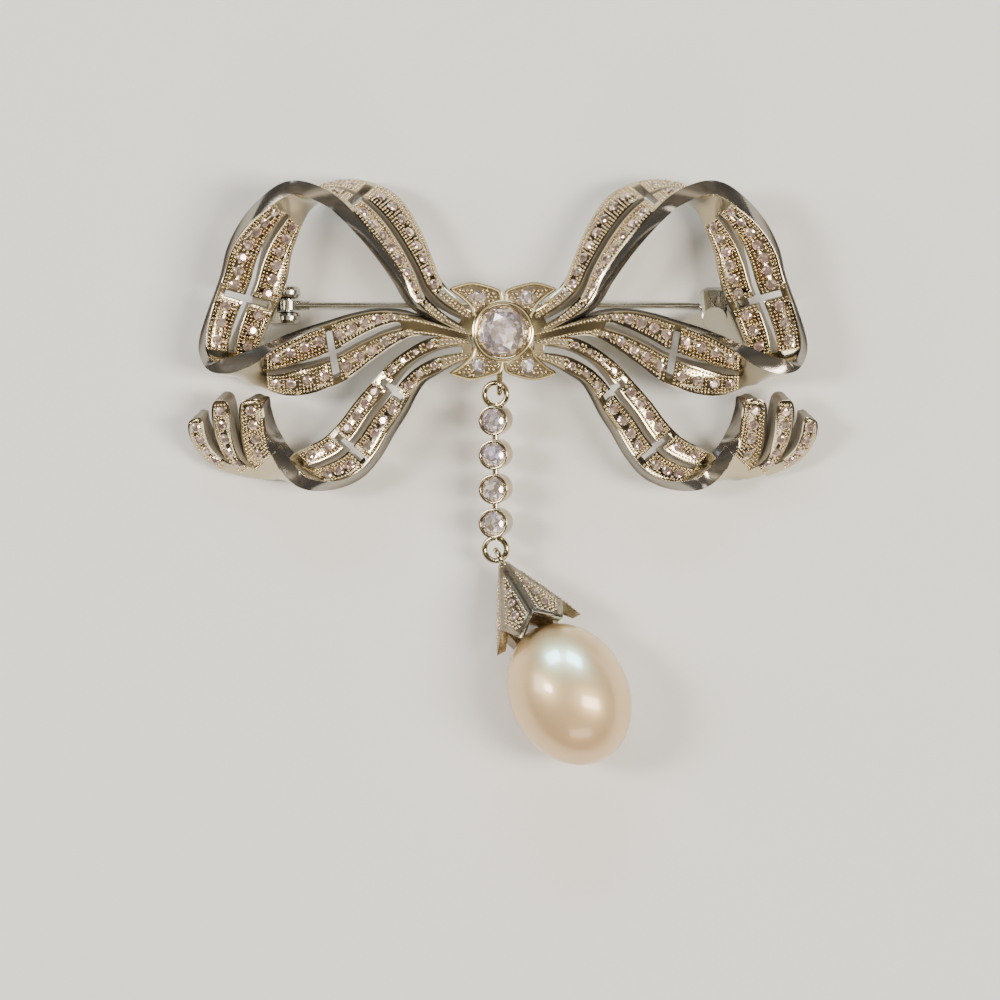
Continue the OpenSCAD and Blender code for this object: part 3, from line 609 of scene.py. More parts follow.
def brilliant(d, sides=8, floor=None):
    """A round cut stone with its girdle at height 0, as a mesh of flat facets."""
    r, deep = d / 2, min(d * PAVILION, floor or math.inf)
    bm = bmesh.new()
    for n, radius, z, turn in (
            (sides * 2, r, 0.0, 0.0), (sides * 2, r, -GIRDLE * d, 0.0),
            (sides, r * 0.80, d * CROWN * 0.58, math.pi / sides), (sides, r * TABLE, d * CROWN, 0.0),
            (sides, r * 0.45, -GIRDLE * d - deep * 0.52, math.pi / sides),
            (3, r * 0.03, -GIRDLE * d - deep * 0.97, 0.0)):
        ring = bmesh.ops.create_circle(bm, segments=n, radius=radius)["verts"]
        bmesh.ops.rotate(bm, verts=ring, cent=(0, 0, 0), matrix=Matrix.Rotation(turn, 3, "Z"))
        bmesh.ops.translate(bm, verts=ring, vec=(0, 0, z))
    bmesh.ops.delete(bm, geom=list(bm.edges), context="EDGES_FACES")
    bmesh.ops.convex_hull(bm, input=list(bm.verts))
    loose = [v for v in bm.verts if not v.link_faces]
    bmesh.ops.delete(bm, geom=loose, context="VERTS")
    bmesh.ops.dissolve_limit(bm, angle_limit=math.radians(1), verts=bm.verts, edges=bm.edges)
    outward(bm)
    return as_mesh(bm, "stone_shape")


def bead_shape():
    bm = bmesh.new()
    bmesh.ops.create_uvsphere(bm, u_segments=8, v_segments=5, radius=1.0)
    return as_mesh(bm, "bead_shape")


def add_shape(bm, shape, matrix):
    """Adds a copy of a small shape to a bmesh, at a place."""
    copy = shape.copy()
    copy.transform(matrix)
    bm.from_mesh(copy)
    bpy.data.meshes.remove(copy)


bead = bead_shape()


def add_bead(bm, matrix, r, tall=1.0):
    add_shape(bm, bead, matrix @ Matrix.Diagonal((r, r, r * tall, 1)))


print("one bead has", len(bead.polygons), "faces")

# %% [markdown]
# Stones and beads keep an even distance along their rail, which a setter steps off with dividers. So
# the line through the middle of the rail is measured first, and then parted in equal lengths.


# %% Even places on a rail
STONE_PITCH, BEAD_PITCH = 1.34, 0.34


def rail_of(arm, first):
    """A function that gives the shares of the width that one rail of an arm takes up."""
    def span(u):
        half = SLOT_W / 2 / arm.ribbon.width(u)
        return (0, arm.split - half) if first else (arm.split + half, 1)
    return span


def facing(place, along, up):
    side = up.cross(along).normalized()
    m = Matrix((along, side, up)).transposed().to_4x4()
    m.translation = place
    return m


def even_places(ribbon, span, u0, u1, pitch, samples=24):
    """Values of u that lie about one pitch apart along the middle of a rail."""
    us = [u0 + (u1 - u0) * k / samples for k in range(samples + 1)]
    points = [ribbon.spot(u, sum(span(u)) / 2, 0) for u in us]
    run = [0.0]
    for a, b in zip(points, points[1:]):
        run.append(run[-1] + (b - a).length)
    n = math.floor(run[-1] / pitch)
    out = []
    for k in range(n):
        want = (k + 0.5) * run[-1] / n
        i = next(i for i in range(1, len(run)) if run[i] >= want)
        f = (want - run[i - 1]) / (run[i] - run[i - 1])
        out.append(us[i - 1] + (us[i] - us[i - 1]) * f)
    return out


first_row = even_places(loop, rail_of(ARMS[0], True), 1.6, 5.75, BEAD_PITCH)
print("beads along the first rail's first channel:", len(first_row))

# %% [markdown]
# No stone sits quite level in its seat, and that makes a row sparkle unevenly. So each one leans a
# little, by chance, and the beads differ in size. The chance is seeded, so each run gives the same
# brooch.

# %% Set the small stones
STONE_D, SEAT_GAP, LEAN = 1.15, 0.05, 0.16
BEAD_SIZES, BEAD_TALL, BEAD_CLEAR, BEAD_LAP = (0.13, 0.165), 1.2, 0.1, 0.45
LAP = 0.12  # room that a row leaves at a cross cut or a fold, as a stretch of u
stone_shapes = {}


def stone_of(d):
    key = round(d, 2)
    if key not in stone_shapes:
        stone_shapes[key] = brilliant(key, 6, floor=CHANNEL_DEEP - 2 * SEAT_GAP)
    return stone_shapes[key]


def seat(ribbon, u, v, h, side):
    """The place and turn of something that is set on the side of the ribbon that shows."""
    return facing(ribbon.spot(u, v, h * side), ribbon.along(u), ribbon.normal(u) * side)


def set_row(stones, beads, ribbon, span, u0, u1, room, side, luck):
    """A row of stones in one channel, and the beads beside and between them."""
    places = even_places(ribbon, span, u0 + room[0], u1 - room[1], STONE_PITCH)
    seats = []
    for u in places:
        v0, v1 = span(u)
        w = (v1 - v0) * ribbon.width(u)
        d = min(STONE_D, w - 2 * min(RIM_W, w * NARROW_RIM) - 2 * SEAT_GAP)
        m = seat(ribbon, u, (v0 + v1) / 2, RIBBON_T / 2, side)
        lean = [Matrix.Rotation(luck.uniform(-LEAN, LEAN), 4, axis) for axis in "XY"]
        spin = Matrix.Rotation(luck.uniform(0, math.pi), 4, "Z")
        add_shape(stones, stone_of(d), m @ (lean[0] @ lean[1]) @ spin)
        seats.append((m.translation, d / 2))
    for k, u in enumerate(even_places(ribbon, span, u0, u1, BEAD_PITCH)):
        v0, v1 = span(u)
        full = ribbon.width(u)
        reach = (v1 - v0) * full / 2 - min(RIM_W, (v1 - v0) * full * NARROW_RIM) - BEAD_CLEAR
        n = max(2, round(2 * reach / BEAD_PITCH)) + k % 2
        for j in range(n):
            r = luck.uniform(*BEAD_SIZES)
            off = (2 * j / (n - 1) - 1) * reach
            m = seat(ribbon, u, (v0 + v1) / 2 + off / full, RIBBON_T / 2, side)
            if all((m.translation - spot).length > rs + r * BEAD_LAP for spot, rs in seats):
                add_bead(beads, m, r, BEAD_TALL)
    return len(places)


stones, beads = bmesh.new(), bmesh.new()
luck, count = random.Random(7), 0
for arm in ARMS:
    found = stretches(arm)
    for k, (u0, u1, kind) in enumerate(found):
        if kind == STONES:
            room = [LAP if j % 2 == 1 or found[j][2] == FOLD else 0 for j in (k - 1, k + 1)]
            for first in (True, False):
                rail = rail_of(arm, first)
                count += set_row(stones, beads, arm.ribbon, rail, u0, u1, room, arm.side, luck)
for leaf in leaves.values():
    count += set_row(stones, beads, leaf, lambda u: (0, 1), LEAF_START, LEAF_END, [LAP, LAP], 1, luck)
print("stones on one half:", count)
both_sides(stones, "small_cut_stones", small_gem, "small_stones", node="small_stones", flat=True)

# %% [markdown]
# Towards the flower the rails get too narrow for stones. The maker carried the line on with a row of
# fine beads, which the eye reads as smaller and smaller stones. Where a rail is wide enough, two lie
# side by side.

# %% Fine beads towards the flower
RUN_PITCH, PAIR_OFF, PAIR_ROOM, RUN_LIFT = 1.08, 1.02, 4.6, 0.05  # the first three in bead radii


def bead_run(bm, arm, first, u0, u1, size0, size1):
    ribbon, span = arm.ribbon, rail_of(arm, first)
    us = even_places(ribbon, span, u0, u1, (size0 + size1) * RUN_PITCH)
    for k, u in enumerate(us):
        v0, v1 = span(u)
        r = size0 + (size1 - size0) * k / max(1, len(us) - 1)
        middle, off = (v0 + v1) / 2, r * PAIR_OFF / ribbon.width(u)
        wide = (v1 - v0) * ribbon.width(u) > PAIR_ROOM * r
        for v in (middle - off, middle + off) if wide else (middle,):
            add_bead(bm, seat(ribbon, u, v, RIBBON_T / 2 + RUN_LIFT, arm.side), r)


fine = bmesh.new()
for first in (True, False):
    bead_run(fine, ARMS[0], first, 0.35, 1.55, 0.17, 0.2)
    bead_run(fine, ARMS[3], first, 0.1, 1.35, 0.16, 0.2)
    bead_run(fine, ARMS[2], first, 25.8, 27.9, 0.19, 0.13)


def join(*parts):
    """Puts several bmeshes into one."""
    out = bmesh.new()
    for part in parts:
        out.from_mesh(as_mesh(part, "part"))
    return out


both_sides(join(beads, fine), "setting_beads", bead_metal, "bow_metal")

# %% [markdown]
# ## The flower
#
# The middle of the bow hides where the ribbons meet. A high round collet holds the largest stone, and
# four petals stand out behind it. The collet is turned: its wall is drawn once and spun round, which
# is how a lathe would make it and keeps it perfectly round.

# %% Turned parts
FLOWER_Z, COLLET_H, COLLET_R, CENTRE_D = 4.6, 3.8, 3.12, 4.95
SEAT_SHARE = 0.12  # how far a stone's girdle lies below its collet's lip, in stone widths
LIP_SHARE, LIP_FLAT = 0.41, 0.6
INNER_RIM = [(0.84, -0.55), (0.86, -0.4), (0.91, -0.34), (0.97, -0.4)]


def at(x, y, z):
    return Matrix.Translation((x, y, z))


def spun(bm, steps, matrix):
    """Spins all that is in the bmesh a full turn round the Z axis, and puts it in its place."""
    bmesh.ops.spin(bm, geom=list(bm.verts) + list(bm.edges), cent=(0, 0, 0), axis=(0, 0, 1),
                   angle=2 * math.pi, steps=steps, use_merge=True)
    bmesh.ops.remove_doubles(bm, verts=bm.verts, dist=1e-4)
    outward(bm)
    bmesh.ops.transform(bm, matrix=matrix, verts=bm.verts)
    return bm


def turned(profile, steps, matrix, closed=True):
    """A turned part from its outline of (radius, height) points."""
    bm = bmesh.new()
    verts = [bm.verts.new((r, 0, z)) for r, z in profile]
    for a, b in zip(verts, verts[1:] + verts[:1] if closed else verts[1:]):
        bm.edges.new((a, b))
    return spun(bm, steps, matrix)


def tip_over(bm):
    """Turns a shape that was made along Z so that it lies along Y."""
    bmesh.ops.rotate(bm, verts=bm.verts, cent=(0, 0, 0), matrix=Matrix.Rotation(math.pi / 2, 3, "X"))


def torus(r, wire, matrix):
    """A ring of round wire."""
    bm = bmesh.new()
    bmesh.ops.create_circle(bm, segments=14, radius=wire)
    tip_over(bm)
    bmesh.ops.translate(bm, verts=bm.verts, vec=(r, 0, 0))
    return spun(bm, 64, matrix)


def collet(outer, h, d, steps, matrix):
    """A cup: a half-round lip, a fine groove, a thin inner rim, and the slope that holds the stone."""
    r, girdle, inner = outer / 2, h - SEAT_SHARE * d, d / 2
    w = r - inner
    lip = LIP_SHARE * w
    arc = [math.radians(a) for a in range(0, 181, 20)]
    tall = lip * LIP_FLAT
    profile = [(r, 0)]
    profile += [(r - lip + lip * math.cos(a), h - tall + tall * math.sin(a)) for a in arc]
    profile += [(r - x * w, h + y * w) for x, y in INNER_RIM]
    profile += [(inner + 0.02, girdle + 0.02), (inner * 0.9, girdle - 0.12 * d),
                (inner * 0.8, girdle - 0.25 * d), (inner * 0.75, 0)]
    return turned(profile, steps, matrix)


bezel = collet(2 * COLLET_R, COLLET_H, CENTRE_D, 96, at(0, HOME, FLOWER_Z))
piece(bezel, "centre_collet", petal_metal, "flower_metal", ["flower"], sharp=35)

# %% [markdown]
# A petal is a pointed leaf with a raised rim and a sunk bed full of beads round one stone. Its
# outline is a smooth closed curve through a few points, filled, extruded, and inset for the rim. The
# beads are laid out in staggered rows, a little out of line, and those that would touch the rim, the
# collet or the stone are left out. The other three petals are the same one, mirrored.

# %% Outline of a petal
PETAL_Z, PETAL_T, PETAL_REACH, PETAL_RISE, PETAL_STONE_D = 7.0, 0.9, 5.3, 4.9, 1.4
PETAL_STONE_AT = Vector((PETAL_REACH * 0.46, PETAL_RISE * 0.69))
PETAL_SHARES = [(1, 0.845), (0.85, 0.94), (0.585, 1), (0.3, 0.94), (0.06, 0.84), (0.01, 0.67),
                (0.01, 0.4), (0.4, 0.2), (0.57, 0.35), (0.62, 0.49), (0.81, 0.69)]
QUARTERS = [(-1, 1), (1, 1), (-1, -1), (1, -1)]


def smooth_outline(points, per=6):
    out = []
    for i in range(len(points)):
        near = [Vector(points[(i + k) % len(points)]) for k in (-1, 0, 1, 2)]
        out += [smooth(*near, k / per) for k in range(per)]
    return out


def inside(point, outline):
    """Whether a line to the side of the point crosses the outline an odd number of times."""
    x, y = point
    hit = False
    for (x0, y0), (x1, y1) in zip(outline, outline[1:] + outline[:1]):
        if (y0 > y) != (y1 > y) and x < x0 + (x1 - x0) * (y - y0) / (y1 - y0):
            hit = not hit
    return hit


petal_outline = smooth_outline([(x * PETAL_REACH, y * PETAL_RISE) for x, y in PETAL_SHARES])
print("a petal's outline has", len(petal_outline), "points")

# %% Petals and their beads
PETAL_CURVE, PETAL_RIM, PETAL_BED = 0.18, 0.34, 0.25
BEAD_STEP, BEAD_ROW, BEAD_ROWS, ASTRAY, BEAD_SUNK = 0.39, 0.87, 16, 0.04, 0.14
FROM_RIM, FROM_COLLET = 0.5, 0.1


def curve_of(x, y):
    """How much the petal rises towards its tip."""
    return PETAL_CURVE * (math.hypot(x, y) / PETAL_REACH) ** 2


def petal_body():
    bm = bmesh.new()
    face = bm.faces.new([bm.verts.new((p.x, p.y, 0)) for p in petal_outline])
    top = bmesh.ops.extrude_face_region(bm, geom=[face], use_keep_orig=True)["geom"]
    lid = next(g for g in top if isinstance(g, bmesh.types.BMFace))
    bmesh.ops.translate(bm, verts=lid.verts, vec=(0, 0, PETAL_T))
    outward(bm)
    bmesh.ops.inset_region(bm, faces=[lid], thickness=PETAL_RIM, depth=0)
    bmesh.ops.inset_region(bm, faces=[lid], thickness=0.05, depth=-PETAL_BED)
    lid.material_index = 1
    for v in bm.verts:
        v.co.z += curve_of(v.co.x, v.co.y)
    return bm


def petal_beads(luck):
    bm = bmesh.new()
    for i in range(BEAD_ROWS):
        for j in range(BEAD_ROWS):
            p = Vector((i * BEAD_STEP + (j % 2) * BEAD_STEP / 2, j * BEAD_STEP * BEAD_ROW))
            p += Vector((luck.uniform(-ASTRAY, ASTRAY), luck.uniform(-ASTRAY, ASTRAY)))
            if (inside(p, petal_outline) and min((p - q).length for q in petal_outline) > FROM_RIM
                    and p.length >= COLLET_R + FROM_COLLET
                    and (p - PETAL_STONE_AT).length >= PETAL_STONE_D / 2 + FROM_COLLET):
                r = luck.uniform(0.17, 0.2)
                add_bead(bm, at(p.x, p.y, PETAL_T - BEAD_SUNK + curve_of(*p)), r, 1.1)
    for k in range(4):
        a = math.pi / 4 + k * math.pi / 2
        p = PETAL_STONE_AT + Vector((math.cos(a), math.sin(a))) * (PETAL_STONE_D / 2 + 0.02)
        add_shape(bm, bead, at(p.x, p.y, PETAL_T + 0.05) @ Matrix.Diagonal((0.15, 0.15, 0.2, 1)))
    return bm


petals, grains, luck = [], [], random.Random(11)
for x, y in QUARTERS:
    for part, heap in ((petal_body(), petals), (petal_beads(luck), grains)):
        bmesh.ops.scale(part, vec=(x, y, 1), verts=part.verts)
        if x * y < 0:
            bmesh.ops.reverse_faces(part, faces=part.faces)
        bmesh.ops.translate(part, verts=part.verts, vec=(0, HOME, PETAL_Z))
        heap.append(part)
piece(join(*petals), "flower_petals", (petal_metal, bed_metal), "flower_metal", bevel=0.07)
piece(join(*grains), "flower_grains", bead_metal, "flower_metal")


# %% Stones of the flower
def set_stone(name, node, shape, matrix):
    bm = bmesh.new()
    add_shape(bm, shape, matrix)
    piece(bm, name, clear_gem, "clear_stones", [node], flat=True)


set_stone("centre_cut_stone", "centre_stone", brilliant(CENTRE_D),
          at(0, HOME, FLOWER_Z + COLLET_H - SEAT_SHARE * CENTRE_D))
for k, (x, y) in enumerate(QUARTERS, 1):
    place = at(x * PETAL_STONE_AT.x, y * PETAL_STONE_AT.y + HOME, PETAL_Z + PETAL_T - 0.1)
    set_stone(f"petal_cut_stone_{k}", f"petal_stone_{k}",
              brilliant(PETAL_STONE_D, floor=PETAL_T - PETAL_BED), place)

# %% [markdown]
# ## The eye, the bar and its stones
#
# The drop hangs on jump rings. Under the flower is a small eye, then comes the bar: a ring, four
# collets on a line and another ring. It lies a little rolled, so the right-hand walls of its cups
# show. A ring is a circle of wire that is spun, and the links between the collets are short rods.

# %% Places on the bar
WIRE, LINK_WIRE, RING_R, EYE_R = 0.23, 0.29, 1.19, 0.85
BAR_PITCH, BAR_COLLET_D, BAR_COLLET_H, BAR_STONE_D = 3.44, 3.0, 2.1, 2.36
BAR_FALL, BAR_ROLL = 4.6875, 16
LINK_LAP = 0.22  # how far a link runs into its collets
BAR_FIRST = RING_R + BAR_COLLET_D / 2 - 0.12
BAR_LEN = BAR_FIRST + 3 * BAR_PITCH + BAR_FIRST + 0.1
TOP_EYE = Vector((-0.35, -COLLET_R - 1.3 - EYE_R, FLOWER_Z + 0.5))
TOP_RING = TOP_EYE + Vector((-0.4, WIRE - RING_R, 0))


def turn(degrees, axis):
    return Matrix.Rotation(math.radians(degrees), 4, axis)


home = at(0, HOME, 0)
on_bar = home @ at(*TOP_RING) @ turn(BAR_FALL, "X") @ turn(-BAR_ROLL, "Y")
print("the bar is", round(BAR_LEN, 2), "mm from ring to ring")


# %% Eye and bar
def rod(y0, y1, r, matrix):
    """A short straight rod along Y, with closed ends."""
    bm = bmesh.new()
    bmesh.ops.create_cone(bm, cap_ends=True, segments=16, radius1=r, radius2=r, depth=abs(y1 - y0))
    tip_over(bm)
    bmesh.ops.transform(bm, matrix=matrix @ at(0, (y0 + y1) / 2, 0), verts=bm.verts)
    return bm


eye = torus(EYE_R, LINK_WIRE, home @ at(*TOP_EYE) @ turn(90, "Y"))
stem = rod(-COLLET_R + 0.3, TOP_EYE.y + EYE_R, WIRE * 1.3, at(TOP_EYE.x, HOME, TOP_EYE.z))
piece(join(eye, stem), "flower_eye", bright_metal, "flower_metal", sharp=50)

ring_shown = RING_R - (LINK_WIRE - WIRE) / 2
parts = [torus(ring_shown, LINK_WIRE, on_bar @ at(0, y, 0)) for y in (0, -BAR_LEN)]
bar_y = [-BAR_FIRST - k * BAR_PITCH for k in range(4)]
ends = [-RING_R]
for y in bar_y:
    foot = on_bar @ at(0, y, -BAR_COLLET_H / 2)
    parts.append(collet(BAR_COLLET_D, BAR_COLLET_H, BAR_STONE_D, 64, foot))
    ends += [y + BAR_COLLET_D / 2, y - BAR_COLLET_D / 2]
ends.append(RING_R - BAR_LEN)
for a, b in zip(ends[::2], ends[1::2]):
    parts.append(rod(max(a, b) + LINK_LAP, min(a, b) - LINK_LAP, WIRE * 1.4, on_bar))
piece(join(*parts), "bar_of_collets", bright_metal, "bar_metal", ["stone_bar"], sharp=35)
for k, y in enumerate(bar_y, 1):
    set_stone(f"bar_cut_stone_{k}", f"bar_stone_{k}", brilliant(BAR_STONE_D),
              on_bar @ at(0, y, BAR_COLLET_H / 2 - SEAT_SHARE * BAR_STONE_D))

# %% [markdown]
# ## The pearl cap
#
# The cap is a cone of six flat petals that end in points, like a folded paper star. Between two
# petals runs a soft raised fold, and inside each petal a long three-cornered panel is sunk and set
# with stones that grow towards the point. A closed grid takes these lines, and the panel faces are
# pushed in. A place on the cap is `turn`, counted in petals, and `t`, from the top to the points.

# %% Form of the cap
DROP_RISE, DROP_LEAN = 8, 27
LOW_EYE = (-0.3369, -22.5488, 3.8284)
CAP_START, CAP_TOP_R, CAP_R, CAP_L, CAP_NOTCH, CAP_TURN, CAP_PETALS = 0.75, 0.55, 5.0, 8.05, 1.9, 22, 6
CAP_POINT_IN = 0.95  # the points stand in from the round of the cone
CAP_ROWS = [0, 0.1, 0.17, 0.24, 0.32, 0.4, 0.5, 0.6, 0.7, 0.8, 0.88, 0.94, 1]
on_drop = home @ at(*LOW_EYE) @ turn(DROP_LEAN, "Z") @ turn(90 - DROP_RISE, "X")


def cap_radius(h):
    return CAP_TOP_R + (CAP_R - CAP_TOP_R) * (h - CAP_START) / CAP_L


def cap_spot(turns, t):
    """A point of the cap: turns in petals, t from its top to its pointed edge."""
    def on_cone(share, h, reach=1.0):
        a = math.radians(CAP_TURN + (petal + share) * 360 / CAP_PETALS)
        return Vector((math.cos(a), math.sin(a), 0)) * cap_radius(h) * reach + Vector((0, 0, h))

    petal, f = divmod(turns, 1)
    tip = on_cone(0.5, CAP_START + CAP_L * t, CAP_POINT_IN)
    fold = on_cone(0 if f <= 0.5 else 1, CAP_START + (CAP_L - CAP_NOTCH) * t)
    return fold.lerp(tip, 1 - abs(f - 0.5) * 2)


def petal_width(t):
    return 2 * math.pi * cap_radius(CAP_START + CAP_L * t) / CAP_PETALS


def cap_columns(t):
    """Shares of one petal's turn: the fold, the panel's rim of even width, and lines between."""
    edge = min(0.42, 0.5 / petal_width(t))
    inner = [edge + (0.5 - edge) * k / 2 for k in (0, 1, 2)]
    return [0, edge * 0.45, *inner, 1 - inner[1], 1 - inner[0], 1 - edge * 0.45]


print("a petal of the cap is", round(petal_width(1), 2), "mm wide at its end")

# %% Cap
PANEL_START, PANEL_END, CAP_WALL, CAP_SUNK = 0.17, 0.94, 1.0, 0.28


def push_in(verts, depth, share):
    """Moves points towards the cap's axis, by no more than a share of the way."""
    for v in verts:
        v.co -= Vector((v.co.x, v.co.y, 0)).normalized() * min(depth, share * v.co.xy.length)


cap = bmesh.new()
mark, mark_t = cap.verts.layers.float.new("turn"), cap.verts.layers.float.new("t")
per, last_row = len(cap_columns(0.5)), len(CAP_ROWS) - 1
net = bmesh.ops.create_grid(cap, x_segments=per * CAP_PETALS, y_segments=last_row, size=0.5)["verts"]
for v in net:
    i, j = round((v.co.x + 0.5) * per * CAP_PETALS), round((v.co.y + 0.5) * last_row)
    v[mark], v[mark_t] = i // per + cap_columns(CAP_ROWS[j])[i % per], CAP_ROWS[j]
    v.co = cap_spot(v[mark] % CAP_PETALS, CAP_ROWS[j])
bmesh.ops.remove_doubles(cap, verts=cap.verts, dist=1e-3)
walls = bmesh.ops.extrude_face_region(cap, geom=list(cap.faces), use_keep_orig=True)["geom"]
push_in(verts_in(walls), CAP_WALL, 0.6)
outward(cap)
panel = []
for f in cap.faces:
    middle = f.calc_center_median()
    t, share = mean(f, mark_t), mean(f, mark) % 1
    rim = cap_columns(t)[2]
    outer = f.normal.dot(Vector((middle.x, middle.y, 0)).normalized()) > 0.3
    if outer and PANEL_START < t < PANEL_END and rim < share < 1 - rim:
        panel.append(f)
push_in(verts_in(bmesh.ops.extrude_face_region(cap, geom=panel)["geom"]), CAP_SUNK, 0.3)
outward(cap)
bmesh.ops.transform(cap, matrix=on_drop, verts=cap.verts)
print("faces in the cap's panels:", len(panel))
piece(cap, "cap_of_petals", cap_metal, "cap_metal", ["pearl_cap"], bevel=0.06, sharp=25)

top_ring = torus(EYE_R, LINK_WIRE, on_drop @ turn(90, "Y"))
knob = turned([(0, CAP_START - 0.1), (CAP_TOP_R * 0.8, CAP_START - 0.1),
               (CAP_TOP_R + 0.1, CAP_START + 0.1), (CAP_TOP_R + 0.12, CAP_START + 0.35),
               (0, CAP_START + 0.5)], 32, on_drop, closed=False)
piece(join(top_ring, knob), "cap_eye", bright_metal, "cap_metal", sharp=50)

# %% [markdown]
# Each panel of the cap holds three stones that grow towards the point, and beads fill the rest of it
# in rows across.

# %% Stones and beads of the cap
CAP_STONES_AT = (0.37, 0.52, 0.69)
CAP_BEAD_ROW, CAP_BEAD_PITCH = 0.42, 0.44


def on_petal(turns, t, lift):
    """A place on a petal of the cap and the directions down and out there."""
    place = cap_spot(turns, t)
    down = (cap_spot(turns, t + 0.02) - cap_spot(turns, t - 0.02)).normalized()
    side = cap_spot(math.floor(turns) + 0.6, t) - cap_spot(math.floor(turns) + 0.4, t)
    up = side.cross(down).normalized()
    if up.dot(Vector((place.x, place.y, 0))) < 0:
        up = -up
    return facing(place + up * lift, down, up)


cap_cut, cap_grains, luck = bmesh.new(), bmesh.new(), random.Random(5)
for k in range(CAP_PETALS):
    seats = []
    for t in CAP_STONES_AT:
        m, d = on_petal(k + 0.5, t, -0.02), 1.05 * (0.42 + 0.84 * t)
        add_shape(cap_cut, brilliant(d, 6, floor=0.2), on_drop @ m)
        seats.append((m.translation, d / 2))
    t = PANEL_START + 0.02
    while t < PANEL_END - 0.02:
        rim = cap_columns(t)[2]
        n = max(1, round((1 - 2 * rim) * petal_width(t) / CAP_BEAD_PITCH))
        for j in range(n):
            m = on_petal(k + rim + (1 - 2 * rim) * (j + 0.5) / n, t, -0.04)
            r = luck.uniform(0.16, 0.2)
            if all((m.translation - spot).length > rs + r * 0.6 for spot, rs in seats):
                add_bead(cap_grains, on_drop @ m, r)
        t += CAP_BEAD_ROW / CAP_L
piece(cap_cut, "cap_cut_stones", small_gem, "small_stones", ["cap_stones"], flat=True)
piece(cap_grains, "cap_grains", bead_metal, "cap_metal")

# %% [markdown]
# ## The pearl
#
# A pearl is built of thousands of thin layers. Light partly comes back from each layer, so its
# colour is soft, a little pink or green by turns, and its shine is broad with a clear thin gloss over
# it. Its shape is never quite true, so a few hundredths of a millimetre of slow noise go over it.

# %% Nacre
bench = new_bench("nacre")
cloud, drift = bench.grain(5.0, 1.0), bench.grain(9.0, 1.0, (1, 1.6, 1))
cream = bench.blend(cloud, rgb(0.76, 0.63, 0.41), rgb(0.79, 0.60, 0.43))
nacre = bench.finish(
    Base_Color=bench.blend(drift * 0.25, cream, rgb(0.78, 0.70, 0.48)), Metallic=0.4,
    Roughness=0.34 + 0.1 * bench.grain(1.5), Normal=bench.bump(bench.grain(0.25), 0.06),
    Subsurface_Weight=0.1, Subsurface_Radius=(1.0, 0.7, 0.5), Subsurface_Scale=0.001,
    Coat_Weight=0.8 + 0.2 * cloud, Coat_Roughness=0.13, Coat_IOR=1.7, Coat_Tint=rgb(1.0, 0.86, 0.66))
print("the nacre is a net of", len(bench.tree.nodes), "nodes")

# %% Pearl
PEARL_D, PEARL_L, PEARL_AT = 11.9, 14.8, 15.47
pearl = bmesh.new()
bmesh.ops.create_uvsphere(pearl, u_segments=72, v_segments=48, radius=1.0)
for v in pearl.verts:
    uneven = 1 + 0.004 * noise.noise(v.co * 1.7)
    v.co = Vector((v.co.x * PEARL_D / 2, v.co.y * PEARL_D / 2, v.co.z * PEARL_L / 2)) * uneven
bmesh.ops.transform(pearl, matrix=on_drop @ at(0, 0, PEARL_AT), verts=pearl.verts)
pearl_drop = piece(pearl, "pearl_drop", nacre, "pearl", ["pearl"], sharp=80)

# %% [markdown]
# ## The pin at the back
#
# The pin stem, its hinge and its catch are exact round solids already, so they stay as they are and
# only get their finish. The solids that the pieces stand for get the finish of their piece too.

# %% Pin and solids
GEM_SOLIDS = ("centre_stone", "petal_stone", "bar_stone")
for name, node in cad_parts.items():
    finish = (pin_metal if name in ("hinge_bracket", "pin_stem", "catch") else
              clear_gem if name.startswith(GEM_SOLIDS) else
              small_gem if name.startswith(("small_stones", "cap_stones")) else
              nacre if name == "pearl" else
              bright_metal if name in ("bow_left", "bow_right", "flower") else satin_metal)
    node.data.materials.clear()
    node.data.materials.append(finish)

# %% [markdown]
# ## Floor, light and camera
#
# The photograph is a plain product shot: a white ground, light from all round, and a camera straight
# above. Metal shows what is around it, so the room matters more than the lamps: it is pale right
# overhead, dark towards the sides and a little lighter below, with slow patches of light and shade.

# %% Floor
floor_bm = bmesh.new()
bmesh.ops.create_grid(floor_bm, x_segments=1, y_segments=1, size=1.5)
floor = bpy.data.objects.new("floor", as_mesh(floor_bm, "floor"))
bpy.context.scene.collection.objects.link(floor)
bench = new_bench("paper")
sheet = bench.blend(bench.grain(30.0), rgb(0.93, 0.93, 0.93), rgb(0.91, 0.91, 0.915))
floor.data.materials.append(bench.finish(Base_Color=sheet, Roughness=0.8))
print("the floor is", round(floor.dimensions.x, 1), "m wide")

# %% Room
ROOM_STOPS = [
    (0.0, (0.16, 0.16, 0.17)), (0.12, (0.12, 0.12, 0.125)), (0.24, (0.08, 0.08, 0.085)),
    (0.46, (0.08, 0.073, 0.062)), (0.7, (0.15, 0.125, 0.09)), (0.9, (0.19, 0.155, 0.11)),
    (0.97, (0.32, 0.27, 0.19)), (0.987, (1.1, 0.95, 0.68)), (1.0, (1.6, 1.4, 1.06))]
room = Bench(bpy.data.worlds.new("room"), "Background")
bpy.context.scene.world = room.owner
way = room.add("ShaderNodeTexCoord", output="Generated")
height = room.add("ShaderNodeSeparateXYZ", {}, {0: way}, output="Z")
patches = room.add("ShaderNodeTexNoise", {}, {"Vector": way, "Scale": 2.6, "Detail": 1.0})
room.finish(Color=room.add("ShaderNodeValToRGB", {"stops": ROOM_STOPS}, {0: height}),
            Strength=room.contrast(patches, 0.4, 1.6))
print("the room has", len(ROOM_STOPS), "tones from the ground to overhead")

# %% [markdown]
# The lamps put highlights on the metal. The pearl also mirrors two blue windows. Light linking keeps
# their light off every other piece, which would turn cold and far too bright in it.


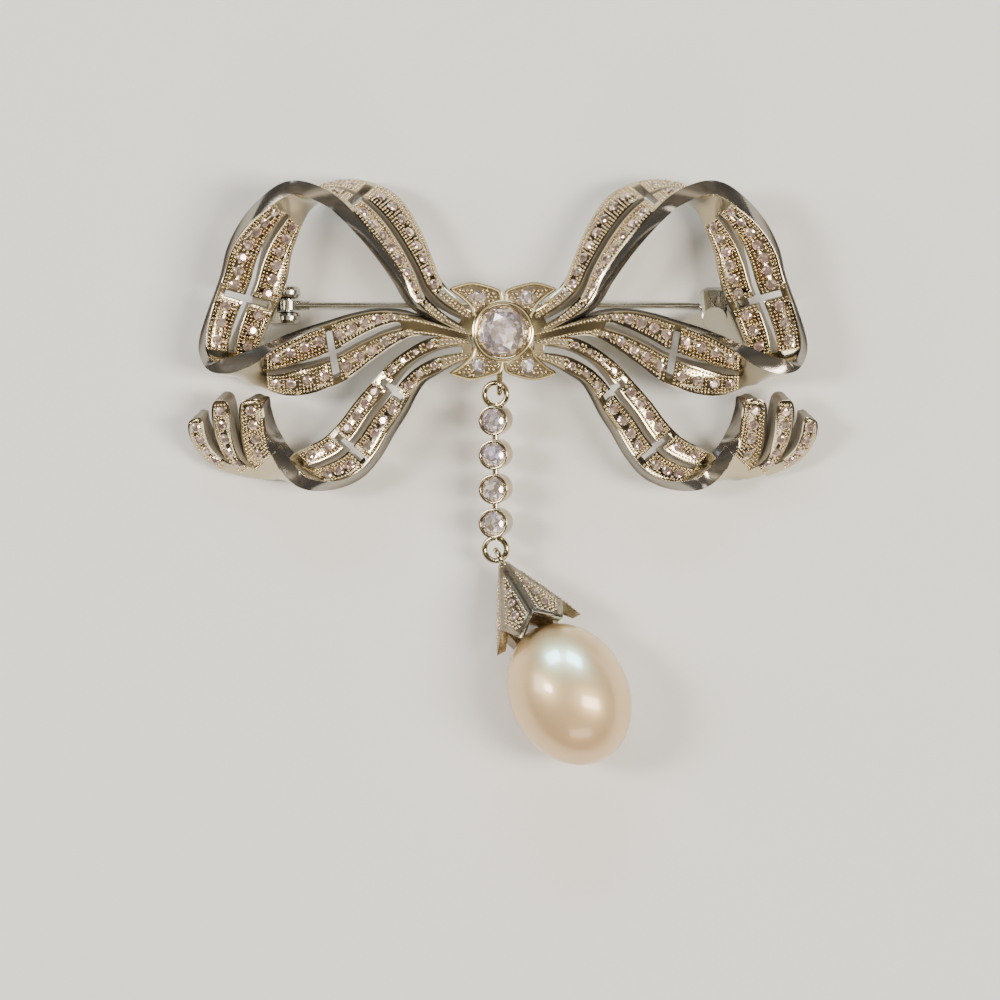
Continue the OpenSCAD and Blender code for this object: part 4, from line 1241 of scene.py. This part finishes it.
# %% Lamps
def softbox(name, place, size, watts, colour, only_on=None):
    """A lamp that is aimed at the brooch. It can be kept off everything but one piece."""
    lamp = bpy.data.lights.new(name, "AREA")
    lamp.shape, lamp.size, lamp.size_y = "RECTANGLE", size[0], size[1]
    lamp.energy, lamp.color = watts, colour
    obj = bpy.data.objects.new(name, lamp)
    obj.location = place
    obj.rotation_euler = (-Vector(place)).to_track_quat("-Z", "Y").to_euler()
    bpy.context.scene.collection.objects.link(obj)
    if only_on:
        lit = bpy.data.collections.new(name + "_lights")
        lit.objects.link(only_on)
        obj.light_linking.receiver_collection = lit
        obj.visible_diffuse = False


softbox("lamp_left", (-0.5, 0.08, 0.62), (0.14, 0.2), 3.6, (1, 0.93, 0.82))
softbox("lamp_right", (0.44, -0.04, 0.62), (0.2, 0.42), 6, (1, 0.92, 0.78))
softbox("window_left", (-0.26, 0.62, 0.38), (0.32, 0.26), 11, (0.28, 0.68, 1), pearl_drop)
softbox("window_right", (0.2, 0.62, 0.38), (0.32, 0.26), 11, (0.28, 0.68, 1), pearl_drop)
softbox("softbox_back", (-0.03, 0.62, 0.38), (0.5, 0.14), 1.6, (0.8, 0.92, 1))
softbox("softbox_side", (-0.6, 0.1, 0.4), (0.3, 0.3), 1.4, (1, 0.97, 0.92))
softbox("softbox_front", (0.12, -0.6, 0.45), (0.5, 0.2), 0.9, (1, 0.95, 0.88))
print("lamps:", len(bpy.data.lights))

# %% [markdown]
# The camera looks straight down. At the bow's height its view is a tenth of a metre wide, so ten
# pixels of the photograph are one millimetre there, and the bow's middle falls on (503, 332).

# %% Camera
CAMERA_H, BOW_H, VIEW_W, SENSOR = 0.6, 0.0055, 0.1, 36
camera = bpy.data.objects.new("camera", bpy.data.cameras.new("camera"))
camera.data.sensor_width = SENSOR
camera.data.lens = SENSOR * (CAMERA_H - BOW_H) / VIEW_W
camera.data.clip_start, camera.data.clip_end = 0.01, 10
camera.location = (-0.3 * MM, (HOME - 16.8) * MM, CAMERA_H)
bpy.context.scene.collection.objects.link(camera)
bpy.context.scene.camera = camera
print("lens:", round(camera.data.lens, 1), "mm")
